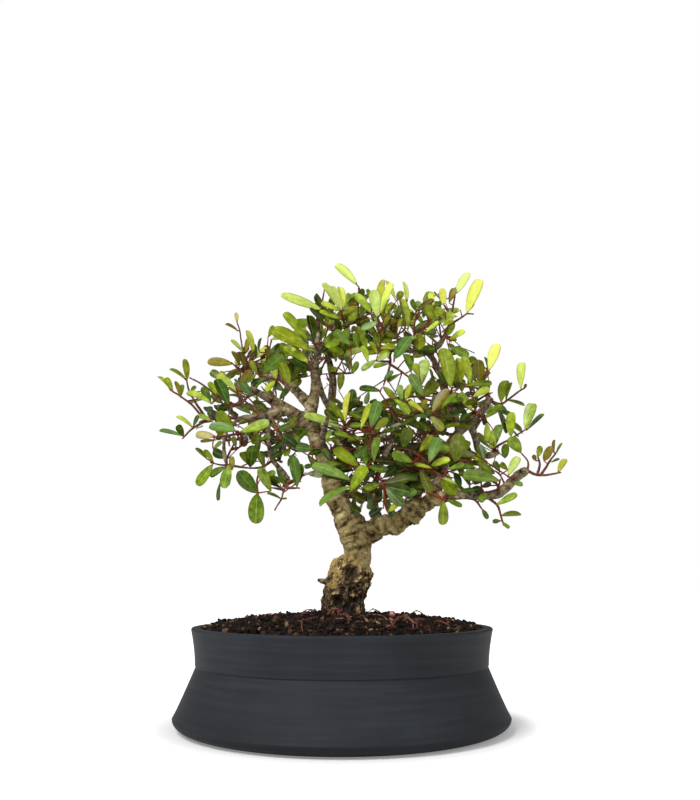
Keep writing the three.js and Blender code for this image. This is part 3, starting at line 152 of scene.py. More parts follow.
profile = [(0, 0)]
for k in range(FOOT_STEPS + 1):
    angle = math.radians(90 * k / FOOT_STEPS)
    profile.append(
        (UNDERSIDE + (BELLY[0] - UNDERSIDE) * math.sin(angle), BELLY[1] * (1 - math.cos(angle)))
    )
for k in range(1, SIDE_STEPS):
    share = k / SIDE_STEPS
    profile.append((
        BELLY[0] - (BELLY[0] - CREASE[0]) * share**BELLY_LEAN,
        BELLY[1] + (CREASE[1] - BELLY[1]) * share,
    ))
profile += [CREASE, COLLAR_FOOT]
for k in range(1, SIDE_STEPS + 1):
    share = k / SIDE_STEPS
    profile.append((
        COLLAR_FOOT[0] + (POT_RIM - COLLAR_FOOT[0]) * share**COLLAR_FLARE,
        COLLAR_FOOT[1] + (POT_HEIGHT - POT_LIP - COLLAR_FOOT[1]) * share,
    ))
lip_angles = [math.radians(90 * k / LIP_STEPS) for k in range(1, LIP_STEPS + 1)]
lip_inside = POT_RIM - POT_WALL + 2 * POT_LIP
profile += [
    (POT_RIM - POT_LIP * (1 - math.cos(angle)), POT_HEIGHT - POT_LIP * (1 - math.sin(angle)))
    for angle in lip_angles
]
profile += [
    (lip_inside - POT_LIP * (1 + math.sin(angle)), POT_HEIGHT - POT_LIP * (1 - math.cos(angle)))
    for angle in lip_angles
]

bm = bmesh.new()
turned(bm, profile + POT_INSIDE, POT_TURNS)
for vert in bm.verts:
    sway = sum(strength * noise.noise(vert.co * waves) for waves, strength in THROWN_WAVES)
    grow = 1 + THROWN_UNEVENNESS * sway
    vert.co.x *= grow
    vert.co.y *= grow
pot = piece("stoneware_pot", bm)
for place in DRAIN_PLACES:
    bm = bmesh.new()
    bmesh.ops.create_cone(
        bm, cap_ends=True, segments=DRAIN_TURNS, radius1=DRAIN_HOLE / 2 * MM,
        radius2=DRAIN_HOLE / 2 * MM, depth=4 * POT_WALL * MM,
        matrix=Matrix.Translation((place * MM, 0, 0)),
    )
    drill = piece("drill", bm)
    cut = pot.modifiers.new("drain hole", "BOOLEAN")
    cut.operation = "DIFFERENCE"
    cut.object = drill
    settle(pot)
    bpy.data.objects.remove(drill)
bm = bmesh.new()
bm.from_mesh(pot.data)
shade(bm, 24)
bm.to_mesh(pot.data)
bm.free()

# Unglazed stoneware: matt, slate grey and faintly blue, with soft level streaks left by the turning
# of the wheel, 55 mm long and 2.4 mm high, and a grain of grog. Real grog is about 0.3 mm across.
# It is drawn at 0.7 mm, because the render wouldn't show anything finer.
STREAK = (55 * MM, 55 * MM, 2.4 * MM)
CLOUD = 38 * MM
GROG = 0.7 * MM

stoneware, tree, shader, place = material("unglazed_slate_stoneware", 0.62, 0.08)
streaks = add(tree, "Mapping", [("Vector", place), ("Scale", [1 / size for size in STREAK])])
clouds = add(tree, "TexNoise", [("Vector", place), ("Scale", 1 / CLOUD), ("Detail", 4)])
streak = add(tree, "TexNoise", [("Vector", streaks), ("Scale", 1), ("Detail", 5)])
both = add(tree, "Math", [(0, clouds), (1, streak)], operation="ADD")
both = add(tree, "Math", [(0, both), (1, 0.5)], operation="MULTIPLY")
grey = add(
    tree, "ValToRGB", [("Fac", both)], [(0.34, "#1A1C1F"), (0.68, "#23262A"), (0.5, "#1E2023")]
)
grain = add(tree, "TexNoise", [("Vector", place), ("Scale", 1 / GROG), ("Detail", 2)])
relief = add(tree, "Math", [(0, streak), (1, grain)], operation="ADD")
bump = add(tree, "Bump", [("Height", relief), ("Strength", 0.25), ("Distance", 0.2 * MM)])
join(shader, [("Base Color", grey), ("Normal", bump)])
pot.data.materials.append(stoneware)
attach(pot, "root")
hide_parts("pot")

# Drain screens. One square of moulded green plastic mesh lies over each hole, and the soil on it
# holds it there.

# Moulded polyethylene: even dark green with a soft shine, a little dusty from the soil.
DUST = 1.4 * MM

polyethylene, tree, shader, place = material("moulded_green_polyethylene", 0.5)
dust = add(tree, "TexNoise", [("Vector", place), ("Scale", 1 / DUST), ("Detail", 3)])
green = add(tree, "ValToRGB", [("Fac", dust)], [(0.4, "#1B2E24"), (0.75, "#37443A")])
join(shader, [("Base Color", green)])
for node in ("drain_screen_left", "drain_screen_right"):
    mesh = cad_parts[node].data
    mesh.materials.clear()
    mesh.materials.append(polyethylene)

# Soil. Moist granules of bark and peat with some pumice, pressed round the roots and heaped towards
# the trunk. It fills the pot to just under its rim.

SOIL_EDGE = 58.6
SOIL_MOUND = 7.6
MOUND_POWER = 3.2
SOIL_LUMPS = ((13, 1.5, 0), (4.5, 0.9, 3))  # breadth, height, and layer of the noise
SOIL_RADIUS = 89
SOIL_RING = 1.6
SOIL_TURNS = 200
SOIL_SIDE = [(0, 6.6), (90.5, 6.6), (96.5, 12.3), (85.6, 37.3), (86.6, 47.3)]
BARE_TONE = 0.15
SOIL_SEED = 11
CRUMBS = 5200
HANDFUL = 130  # made together
CRUMB = (0.5, 2)  # radius of the smallest and the largest
CRUMB_FINES = 1.6  # the higher, the more of them are small
CRUMB_RISE = (0.1, 0.7)  # over the soil, as a share of its radius
CRUMB_STRETCH = ((0.8, 1.7), (0.7, 1.1), (0.5, 0.9))
CRUMB_EDGES = (0.3, 900)  # how far it is dented, as a share of its radius, and dents to a metre
TRUNK_CLEAR = 10


def soil_height(x, y):
    """Height of the soil's surface, heaped at the trunk and lumpy."""
    share = min(1, math.hypot(x, y) / SOIL_RADIUS)
    lumps = sum(high * noise.noise((x / wide, y / wide, layer)) for wide, high, layer in SOIL_LUMPS)
    return SOIL_EDGE + SOIL_MOUND * (1 - share**MOUND_POWER) + lumps


rings = [(SOIL_RADIUS - SOIL_RING * k, SOIL_EDGE) for k in range(int(SOIL_RADIUS / SOIL_RING))]
bm = bmesh.new()
turned(bm, SOIL_SIDE + rings + [(0, SOIL_EDGE)], SOIL_TURNS)
tone = bm.verts.layers.float.new("tone")
for vert in bm.verts:
    vert[tone] = BARE_TONE
    if vert.co.z > (SOIL_EDGE - 0.1) * MM:
        vert.co.z = soil_height(vert.co.x / MM, vert.co.y / MM) * MM
sieve = random.Random(SOIL_SEED)
noise.seed_set(SOIL_SEED)  # without a seed, noise_vector would differ from run to run
for count in range(CRUMBS):
    radius = math.sqrt(sieve.uniform(TRUNK_CLEAR**2, (SOIL_RADIUS + 0.4) ** 2))
    angle = sieve.uniform(0, math.tau)
    x, y = radius * math.cos(angle), radius * math.sin(angle)
    size = CRUMB[0] * (CRUMB[1] / CRUMB[0]) ** (sieve.random() ** CRUMB_FINES)
    height = soil_height(x, y) + size * sieve.uniform(*CRUMB_RISE)
    turn = sieve.uniform(0, math.tau)
    turn = Matrix.Rotation(turn, 4, Vector((sieve.random(), sieve.random(), 1)))
    stretch = Matrix.Diagonal((*(sieve.uniform(*shares) for shares in CRUMB_STRETCH), 1))
    if count % HANDFUL == 0:
        handful = bmesh.new()
        handful_tone = handful.verts.layers.float.new("tone")
    grown = bmesh.ops.create_icosphere(
        handful, subdivisions=1, radius=size * MM,
        matrix=Matrix.Translation((x * MM, y * MM, height * MM)) @ turn @ stretch,
    )
    shade_of = sieve.random()
    for vert in grown["verts"]:
        vert[handful_tone] = shade_of
        vert.co += CRUMB_EDGES[0] * size * MM * noise.noise_vector(vert.co * CRUMB_EDGES[1])
    if (count + 1) % HANDFUL == 0:
        scattered = bpy.data.meshes.new("handful")
        handful.to_mesh(scattered)
        handful.free()
        bm.from_mesh(scattered)
soil = piece("soil_and_crumbs", bm)

# Peat and bark granules: near black where moist, with some brown and a few tan grains. Their fibres
# are finer than the render shows, so they are drawn 1.1 mm wide.
FIBRE = 1.1 * MM

peat, tree, shader, place = material("moist_peat_and_bark", 0.85, 0.12)
grains = add(tree, "Attribute", attribute_name="tone")
brown = add(
    tree, "ValToRGB", [("Fac", grains.outputs["Fac"])],
    [(0, "#150E0B"), (0.995, "#9A8460"), (0.55, "#241813"), (0.86, "#3E2A20"), (0.96, "#664A3A")],
)
fibre = add(tree, "TexNoise", [("Vector", place), ("Scale", 1 / FIBRE), ("Detail", 4)])
fibres = add(tree, "ValToRGB", [("Fac", fibre)], [(0.35, "#0F0B08"), (0.7, "#4A382B")])
mottle = add(
    tree, "Mix", [(0, 0.55), (6, brown), (7, fibres)], data_type="RGBA", blend_type="SOFT_LIGHT"
)
bump = add(tree, "Bump", [("Height", fibre), ("Strength", 0.8), ("Distance", 0.6 * MM)])
join(shader, [("Base Color", mottle), ("Normal", bump)])
soil.data.materials.append(peat)
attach(soil, "root")
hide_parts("soil")

# Fallen stalks. The stalks of old leaves, dry and red, with short side stalks where their leaflets
# sat, and one small drupe. They dropped from the crown and lie loose on the soil.

STALK_POINTS = 7
FALLEN_STALK = 0.45  # radius
FALLEN_STUB = (0.3, 0.22)  # radius of a side stalk at its foot and its tip
FALLEN_LINES = [  # the two ends of the stalks in front, and how far each stands up
    (-9, -26, -3, -17, 2.5), (-6, -16, -1, -20, 3.5), (-1.5, -16, -2.5, -28, 2.5),
    (-1, -24, 6, -27, 1.5), (-14.5, -31, -21, -78, 1.2), (13, -38, 21.5, -28, 1.2),
    (21.5, -28, 27, -42, 1), (35.5, -42, 28, -67, 2), (35.5, -42, 40, -72, 2.4),
    (37.5, -20, 41, -39, 1.6), (36.5, -45, 43, -66, 1.5), (25, -73, 31, -72, 1.2),
    (-21, -12, -26, -19, 1.5), (2, -32, 6, -47, 0.8), (-4, -42, 4, -52, 0.8),
    (56, -36, 64, -44, 0.8),
]
FALLEN_SPOTS = [  # where a tuft of stalks lies, how many there are, and how far they reach
    (-46, -12, 2, 12), (24, 26, 3, 14), (-18, 30, 4, 15), (52, 8, 2, 12), (-30, -50, 1, 10),
]
TUFT = 4  # how far round its spot a tuft spreads
DRUPE = (30.5, -33, 1.9)  # x, y and radius
DRUPE_DENTS = (0.25, 2)  # depth and size


def tubes(name, lines, sides):
    """A mesh of round rods. Each line has points, the radius at each and its material's number."""
    curve = bpy.data.curves.new(name, "CURVE")
    curve.dimensions = "3D"
    curve.bevel_depth = MM
    curve.bevel_resolution = sides
    curve.use_fill_caps = True
    for _ in range(3):  # without places for materials, every rod would get the first one's number
        curve.materials.append(None)
    for points, radii, number in lines:
        spline = curve.splines.new("POLY")
        spline.points.add(len(points) - 1)
        spline.material_index = number
        spline.use_smooth = True
        for slot, point, radius in zip(spline.points, points, radii):
            slot.co = (*(c * MM for c in point), 1)
            slot.radius = radius
    made = bpy.data.objects.new(name, curve)
    bpy.context.scene.collection.objects.link(made)
    mesh = bpy.data.meshes.new_from_object(made)
    bpy.data.objects.remove(made)
    return mesh


def fallen_stalk(ground, lift, rise, taper):
    """Adds a stalk over spots of the soil, bowed up in the middle, and gives its points."""
    points = []
    for k, (x, y) in enumerate(ground):
        bow = math.sin(math.pi * k / (STALK_POINTS - 1))
        points.append((x, y, soil_height(x, y) + lift + rise * bow))
    thick, thinner = taper
    lines.append((points, [FALLEN_STALK * (thick - thinner * k) for k in range(STALK_POINTS)], 0))
    return points


def fallen_stub(foot, way, reach, lift):
    """Adds a side stalk."""
    tip = (foot[0] + reach * math.cos(way), foot[1] + reach * math.sin(way), foot[2] + lift)
    lines.append(([foot, tip], FALLEN_STUB, 0))


lines = []
for x, y, count, reach in FALLEN_SPOTS:
    for _ in range(count):
        angle = sieve.uniform(0, math.tau)
        bend = sieve.uniform(-0.09, 0.09)
        step = reach * sieve.uniform(0.6, 1) / (STALK_POINTS - 1)
        px, py = x + sieve.uniform(-TUFT, TUFT), y + sieve.uniform(-TUFT, TUFT)
        rise, ground = sieve.uniform(0.4, 3.2), []
        for _ in range(STALK_POINTS):
            ground.append((px, py))
            px += step * math.cos(angle)
            py += step * math.sin(angle)
            angle += bend * step
        points = fallen_stalk(ground, 1.2, rise, (1, 0.06))
        fallen_stub(points[3], angle + sieve.choice((-0.8, 0.8)), 3, 0.5)
for x0, y0, x1, y1, rise in FALLEN_LINES:
    bend, ground = sieve.uniform(-0.12, 0.12), []
    dx, dy = x1 - x0, y1 - y0
    for k in range(STALK_POINTS):
        share = k / (STALK_POINTS - 1)
        off = bend * math.sin(math.pi * share)
        ground.append((x0 + dx * share - dy * off, y0 + dy * share + dx * off))
    points = fallen_stalk(ground, 1.4, rise, (1.2, 0.08))
    for k in (2, 4):
        fallen_stub(points[k], sieve.uniform(0, math.tau), 2.5, 0.4)
bm = bmesh.new()
bm.from_mesh(tubes("stalks", lines, 1))
x, y, radius = DRUPE
grown = bmesh.ops.create_uvsphere(bm, u_segments=16, v_segments=10, radius=radius * MM)
bmesh.ops.translate(
    bm, verts=grown["verts"],
    vec=(x * MM, y * MM, (soil_height(x, y) + 1.7 * radius) * MM),
)
for vert in grown["verts"]:
    vert.co += DRUPE_DENTS[0] * MM * noise.noise_vector(vert.co / (DRUPE_DENTS[1] * MM))
for face in {face for vert in grown["verts"] for face in vert.link_faces}:
    face.material_index = 1
shade(bm, 60)
fallen = piece("fallen_stalks_and_drupe", bm)

# Dried leaf stalks: dark brick red, greyish tan where they have bleached, and a little rough.
BLEACHED = 5 * MM

dry_stalk, tree, shader, place = material("dry_red_leaf_stalk", 0.6)
wither = add(tree, "TexNoise", [("Vector", place), ("Scale", 1 / BLEACHED), ("Detail", 3)])
red = add(
    tree, "ValToRGB", [("Fac", wither)],
    [(0.34, "#32120C"), (0.68, "#7A624A"), (0.45, "#64210F"), (0.56, "#4C1C12")],
)
join(shader, [("Base Color", red)])
fallen.data.materials.append(dry_stalk)

# Drupe skin: dull pink red, paler where it dries.
DRIED = 1.5 * MM

skin, tree, shader, place = material("ripening_drupe_skin", 0.5)
drying = add(tree, "TexNoise", [("Vector", place), ("Scale", 1 / DRIED), ("Detail", 2)])
pink = add(tree, "ValToRGB", [("Fac", drying)], [(0.35, "#7A2A2E"), (0.7, "#B4787A")])
join(shader, [("Base Color", pink)])
fallen.data.materials.append(skin)
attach(fallen, "root")

# Wood. The trunk, thick and rough at its foot and smoother above, bends to the left and carries the
# old limbs. They are one living piece, so they run into each other without a seam.

LIMBS = {  # x, y, z and radius along the heart, from where a limb grows to its end
    "trunk": [
        (1, 0, 47, 10), (0, 0, 56, 13.5), (0, 0, 66, 14), (0, 0, 76, 13), (3, 0, 86, 14.2),
        (6, 0, 95, 12.6), (9.5, 0, 103, 9.3), (10, 0, 110, 9), (8, 0, 118, 10.6), (4, 0, 126, 10),
        (0, 0, 134, 7.8), (-4, 0, 143, 8.1), (-6, 0, 152, 7.8), (-9, 1, 162, 6.8),
        (-13, 2, 171, 6.2), (-17, 3, 180, 5.9), (-20, 3, 190, 5.9), (-22, 3, 200, 5.4),
        (-20, 3, 210, 4.7), (-19, 4, 221, 3.7), (-20, 5, 232, 3.1), (-18, 6, 243, 2.8),
        (-18, 6, 254, 2.6), (-18, 6, 264, 2.3), (-17, 6, 271, 2),
    ],
    "right": [
        (5, 0, 114, 7), (13, -2, 119, 7.3), (22, -5, 122, 6.8), (32, -8, 125, 6.4),
        (41, -10, 129, 6.2), (47, -11, 133, 6.9), (53, -12, 138, 5.1), (60, -12, 141, 4.6),
        (68, -12, 142, 3.7), (76, -14, 143, 3), (84, -16, 142, 2.7), (92, -18, 142, 2.9),
        (99, -20, 143, 3.2), (105, -21, 147, 3.3), (110, -22, 152, 3), (115, -22, 156, 3.3),
        (119, -22, 158, 2.8),
    ],
    "rightUp": [
        (60, -12, 141, 3.8), (64, -9, 154, 3.7), (68, -4, 167, 3.6), (72, 0, 178, 3.6),
        (79, 3, 187, 3.5), (87, 6, 194, 3.4), (96, 9, 203, 3.2), (103, 12, 213, 3.4),
    ],
    "spur": [
        (87, 6, 194, 3), (91, 8, 184, 2.9), (93, 9, 176, 2.8), (99, 9, 172, 2.6),
        (107, 9, 175, 2.2),
    ],
    "leftLow": [
        (-20, 3, 190, 5.4), (-29, 0, 197, 5), (-38, -4, 202, 4.6), (-46, -8, 206, 3.8),
        (-54, -12, 210, 2.9), (-62, -15, 214, 2.2),
    ],
    "leftStub": [
        (-37, -4, 201, 4.2), (-45, -9, 198, 3.9), (-52, -13, 195, 2.7), (-60, -16, 194, 1.9),
        (-67, -18, 193, 1.6),
    ],
    "leftHigh": [
        (-21, 3, 204, 4.5), (-30, 8, 215, 3.9), (-38, 12, 223, 3.5), (-47, 16, 230, 3.4),
        (-55, 18, 229, 3), (-63, 20, 225, 2.4),
    ],
    "hanging": [
        (-46, -8, 203, 2.4), (-49, -13, 189, 2), (-48, -17, 175, 1.8), (-45, -19, 165, 1.7),
        (-39, -21, 158, 1.6), (-34, -22, 152, 1.4),
    ],
    "hangingOuter": [
        (-67, -18, 193, 1.5), (-75, -23, 184, 1.4), (-76, -26, 172, 1.4), (-74, -27, 162, 1.2),
    ],
    "middle": [
        (22, -4, 126, 2.8), (21, -8, 138, 2.3), (21, -12, 148, 2.1), (23, -15, 156, 2),
        (26, -17, 164, 1.8), (30, -18, 173, 1.7), (34, -18, 181, 1.6), (38, -17, 189, 1.4),
    ],
    "second": [
        (-7, 2, 157, 4.7), (-1, 10, 169, 4.2), (3, 16, 180, 3.8), (-3, 20, 190, 3.6),
        (-8, 21, 202, 3.5), (-8, 20, 215, 3.4), (-7, 20, 226, 3.2), (-9, 20, 238, 2.8),
        (-12, 20, 249, 2.3),
    ],
    "arch": [
        (79, 3, 187, 2.8), (76, 8, 206, 2.5), (71, 10, 221, 2.4), (66, 10, 235, 2.3),
        (60, 9, 244, 2.4), (50, 8, 246, 2.3), (39, 6, 246, 2.1), (26, 4, 245, 1.7),
    ],
    "archTip": [(60, 9, 244, 2.2), (68, 8, 250, 2), (72, 8, 258, 1.7), (76, 8, 267, 1.4)],
    "backLeft": [(-19, 3, 188, 4.2), (-27, 20, 198, 3.4), (-35, 36, 206, 2.8), (-43, 50, 212, 2)],
    "backMiddle": [
        (-8, 21, 206, 3.2), (-14, 36, 218, 2.6), (-18, 50, 233, 2.2), (-20, 61, 249, 1.7),
    ],
    "backRight": [
        (46, -10, 133, 4.4), (50, 8, 147, 3.6), (53, 24, 162, 3), (57, 38, 177, 2.5),
        (60, 50, 190, 1.9),
    ],
    "snag": [(-8, -3, 87, 2.6), (-16, -5, 89, 1.2)],
    "front": [(-15, 3, 176, 3.4), (-13, -12, 181, 2.7), (-11, -27, 186, 2.1), (-9, -39, 189, 1.6)],
}
SPINE_STEP = 1.2
SLIMMER = (0.12, 150, 190)  # share taken off a limb's radius high up, and where that sets in
FIRST_SIDE = (0.3, 1, 0.2)
BARK_VOXEL = 0.68
BARK_TURNS = 3
NEAREST_BATCH = 4000
ROUGH_FROM = (107, 101)  # the trunk's bark turns from smooth to rough between these heights
ROUGH_BORDER = (9, 5, 0.5)  # size and height of the waves in that border, and its slope
THIN = (2.4, 5)  # radius at which the bark is that of a thin limb, and of a thick one
THIN_ABOVE = (0.6, 168, 196)  # share of it on all limbs high up, and the heights
CALM_ABOVE = (0.5, 150, 185)  # share of the relief lost high up, and the heights
LIMB_SHIFT = 31.7  # between one limb's pattern and the next one's
LUMP = (9, 7)  # a pattern's size round the limb and along it
RIPPLE = (11, 2.6)
SWELL = (9, 3.6)
PLATE = (4.2, 5.5)
SPLINTER = (1.8, 2.2)
CRACKED = 8
CRACK_WIDTH = 0.055  # as a share of the pattern's height
FISSURE_WIDTH = 0.08
BOSS = 8
SMALL_BOSS = 3.7
GRAIN = 1.3
TAN_PATCH_NOISE = 5.5
TAN_PATCH = (-5, -12, 90, 13)  # place and radius of the palest patch on the rough bark
KNOTS = [  # place, radius, depth of the hollow, height of the ring round it
    (5.9, -12.5, 93, 6, 4.6, 0.9), (-3.2, -13, 76, 4.6, 3.6, 0.3), (43.4, -17.2, 133, 2, 2.6, 0.4),
    (-41.5, -13, 196, 2.8, 2.6, 0.9), (9, -9, 104, 2.5, 1.4, 0.5), (-5, -8, 127, 3, 1, 0.6),
    (3, -12, 118, 2.6, 0.7, 0.9), (14, -10, 121, 2.5, 1, 0.8), (68, -15.5, 142, 2, 1.2, 0.8),
    (11.3, -5, 125, 3, 3.6, 0.2), (-18, -4, 186, 2.2, 1.2, 0.7),
]
KNOT_RING = (0.33, 0.9, 2.6)  # width as a share of the radius, unevenness, and size of that
DARKEST_SHADE_DEPTH = 4.2  # a hollow this deep gets the darkest painted shade
SCARS = [  # place, radius, where bark has grown over an old cut in a ring
    (45.2, -16.6, 131.5, 5), (-46, -13, 205, 2.8), (-11, -7, 143, 3), (-18, -3, 172, 2.6),
    (-22, -3, 198, 3), (7, 10, 116, 4), (77, -2, 183, 2.6),
]
SCAR_RING = (1, 0.3)  # distance from the middle and width, as shares of the radius
SCAR_GROOVE = (0.6, 0.2)
SCAR_HEIGHT = 0.36  # of the ring, as a share of the radius
NUBS = [  # place, radius and height of the burrs that stand out where small branches were cut
    (19, -4, 92.5, 6, 3.2), (57, -12, 134.5, 4, 1.6), (-12, -5, 128, 4, 1.3), (46, -15, 130, 9, 2),
    (22, -4, 113.5, 6, 2.4), (36, -7, 119, 6, 2), (-9, -6, 112, 6, 1.4), (64, -13, 137, 4, 1.2),
]
DEEPEST_DENT = 0.55  # share of the radius


def smooth_line(points, step):
    """A smooth line of even steps through the rows of points, which may hold more than a place."""
    points = [np.array(p, float) for p in points]
    line = []
    for i in range(len(points) - 1):
        before, a = points[max(i - 1, 0)], points[i]
        b, after = points[i + 1], points[min(i + 2, len(points) - 1)]
        count = max(1, round(np.linalg.norm(b[:3] - a[:3]) / step))
        for k in range(count):
            t = k / count
            line.append(0.5 * (
                2 * a + (b - before) * t + (2 * before - 5 * a + 4 * b - after) * t**2
                + (3 * a - before - 3 * b + after) * t**3
            ))
    return line + [points[-1]]


def eased(value, low, high):
    """0 below low and 1 above high, with a soft passage between them. low may be the larger."""
    share = min(1, max(0, (value - low) / (high - low)))
    return share * share * (3 - 2 * share)


def wrapped_noise(at, size, shift=0):
    """Noise on the bark, at two places round the limb and one along it."""
    return noise.noise((at[0] / size[0] + shift, at[1] / size[0], at[2] / size[1]))


def ridge(away, ring):
    """Height of a round ridge, 1 at most, at a distance from the middle of its ring."""
    return math.exp(-(((away - ring[0]) / ring[1]) ** 2))


lines = []
spots = []  # x, y, z, radius, way x, y, z, first side x, y, z, length so far, limb
for number, points in enumerate(LIMBS.values()):
    line = smooth_line(points, SPINE_STEP)
    line = [spot * (1, 1, 1, 1 - SLIMMER[0] * eased(spot[2], *SLIMMER[1:])) for spot in line]
    lines.append(([p[:3] for p in line], [p[3] for p in line], 0))
    aside, travelled = np.array(FIRST_SIDE), 0
    for i, spot in enumerate(line):
        way = line[min(i + 1, len(line) - 1)][:3] - line[max(i - 1, 0)][:3]
        way /= np.linalg.norm(way)
        aside = aside - way * (aside @ way)
        aside /= np.linalg.norm(aside)
        travelled += np.linalg.norm(spot[:3] - line[i - 1][:3]) if i else 0
        spots.append([*spot, *way, *aside, travelled, number])
spots = np.array(spots)

wood = bpy.data.objects.new("wood", tubes("limbs", lines, BARK_TURNS))
bpy.context.scene.collection.objects.link(wood)
grow = wood.modifiers.new("grown together", "REMESH")
grow.mode = "VOXEL"
grow.voxel_size = BARK_VOXEL * MM
grow.use_smooth_shade = True
soften = wood.modifiers.new("soft forks", "SMOOTH")
soften.factor = 0.5
soften.iterations = 3
settle(wood)

bm = bmesh.new()
bm.from_mesh(wood.data)
bpy.data.objects.remove(wood)
bark_layer = bm.verts.layers.float_vector.new("bark")  # roughness, relief, which also paints light and shade, and painted shade in the hollows
girth_layer = bm.verts.layers.float_vector.new("girth")  # thinness, and pale tan patches
bm.verts.ensure_lookup_table()
bm.normal_update()
places = np.array([v.co for v in bm.verts]) / MM
nearest = np.concatenate([
    np.argmin(np.linalg.norm(part[:, None] - spots[:, :3], axis=2) - spots[:, 3], axis=1)
    for part in np.array_split(places, 1 + len(places) // NEAREST_BATCH)
])
moves = []
for vert, place, row in zip(bm.verts, places, spots[nearest]):
    heart, radius, way, aside = row[:3], row[3], row[4:7], row[7:10]
    spot, above, out = Vector(place), place[2], place - heart
    turn = math.atan2(out @ np.cross(way, aside), out @ aside)
    at = (math.cos(turn) * radius, math.sin(turn) * radius, row[10] + out @ way)
    shift = row[11] * LIMB_SHIFT
    wide, high, slope = ROUGH_BORDER
    sway = high * noise.noise(spot / wide) - slope * place[0]
    rough = eased(above, ROUGH_FROM[0] + sway, ROUGH_FROM[1] + sway) if row[11] == 0 else 0
    thin = max(1 - eased(radius, *THIN), THIN_ABOVE[0] * eased(above, *THIN_ABOVE[1:]))
    # smooth bark: lumps, and cracks that run round the limb
    lump = wrapped_noise(at, LUMP, shift)
    ripple = wrapped_noise(at, RIPPLE, shift)
    crease = abs(wrapped_noise(at, SWELL, -shift))
    cracked = eased(noise.noise(spot / CRACKED), -0.3, 0.3)
    crack = cracked * max(0, 1 - crease / CRACK_WIDTH)
    swell = min(1, crease / 0.3) ** 0.6 - 0.6
    fine = noise.noise(spot / GRAIN)
    calm = 1 - CALM_ABOVE[0] * eased(above, *CALM_ABOVE[1:])
    upper = calm * (0.95 - 0.6 * thin) * (1.5 * lump + 0.5 * ripple + 0.75 * swell)
    upper -= (0.5 - 0.35 * thin) * crack**2
    # rough bark: plates parted by fissures that run up the trunk
    plates = abs(wrapped_noise(at, PLATE) + 0.5 * wrapped_noise(at, SPLINTER))
    fissure = max(0, 1 - plates / FISSURE_WIDTH)
    boss = noise.noise(spot / BOSS) + 0.5 * noise.noise(spot / SMALL_BOSS)
    lower = 2.1 * boss + 1.1 * min(0.7, 2 * plates) - fissure + 0.45 * fine
    # hollows where old branches came away, with the ring of bark that grew round each
    hollow_shade = 0
    height = (1 - rough) * (upper + 0.13 * fine) + rough * lower
    # the depth of a knot's hollow also paints shade into it
    for x, y, z, size, depth, ring in KNOTS:
        away = math.dist(place, (x, y, z)) / size
        if away < 2:
            sunk = max(0, 1 - away**3)
            ring *= 1 + KNOT_RING[1] * noise.noise(spot / KNOT_RING[2])
            hollow_shade = max(hollow_shade, sunk * min(1, depth / DARKEST_SHADE_DEPTH))
            height += ring * ridge(away, (1, KNOT_RING[0])) - depth * sunk
    # the groove round a scar gets painted shade
    for x, y, z, size in SCARS:
        away = math.dist(place, (x, y, z)) / size
        if away < 2:
            away *= 1 + 0.6 * noise.noise(spot / 2.4)
            groove = ridge(away, SCAR_GROOVE)
            height += SCAR_HEIGHT * size * (ridge(away, SCAR_RING) - 0.6 * groove)
            hollow_shade = max(hollow_shade, 0.5 * groove * (0.75 + 0.9 * noise.noise(spot / 2)))
    for x, y, z, size, rise in NUBS:
        height += rise * max(0, 1 - (math.dist(place, (x, y, z)) / size) ** 2)
    height = max(height, -DEEPEST_DENT * radius)
    # relief paints light and shade into the bark: lighter where it stands out, darker in cracks and
    # fissures, and darker lower down on the rough bark
    relief = (1 - rough) * (0.5 + 0.3 * ripple + 0.35 * lump + 0.15 * swell - 0.38 * crack**2)
    relief += rough * (0.44 + 0.75 * plates - 0.45 * fissure + 0.3 * boss - 0.013 * (95 - above))
    vert[bark_layer] = (rough, min(1, max(0, relief)), min(0.9, 1.4 * hollow_shade))
    # pale tan patches, more of them higher up, and palest round one spot
    tan_patch = 0.46 + 0.5 * noise.noise(spot / TAN_PATCH_NOISE) + 0.012 * (above - 90)
    tan_patch += 0.35 * max(0, 1 - math.dist(place, TAN_PATCH[:3]) / TAN_PATCH[3])
    vert[girth_layer] = (thin, tan_patch, 0)
    moves.append(vert.normal * height * MM)
for vert, move in zip(bm.verts, moves):
    vert.co += move
shade(bm, 180)

# Mastic bark: khaki to beige and fine grained, crackled where a limb has thickened. At the trunk's
# foot it is old, dark brown and fissured, with tan plates. Thin limbs are greyer. The real grain is
# finer than the render shows, so it is drawn 0.9 mm wide, and the crumbs of the old bark 1.2 mm.
# Light and shade are painted in from the relief: lighter where the bark stands out, darker in its
# cracks and fissures, and darkest in the hollows and the grooves round scars.
MOTTLE = 3 * MM
WINDING = 4 * MM
CRACKLE = (7 * MM, 7 * MM, 3.2 * MM)
CRACKLED = 11 * MM
BARK_GRAIN = 0.9 * MM
BARK_CRUMB = 1.2 * MM

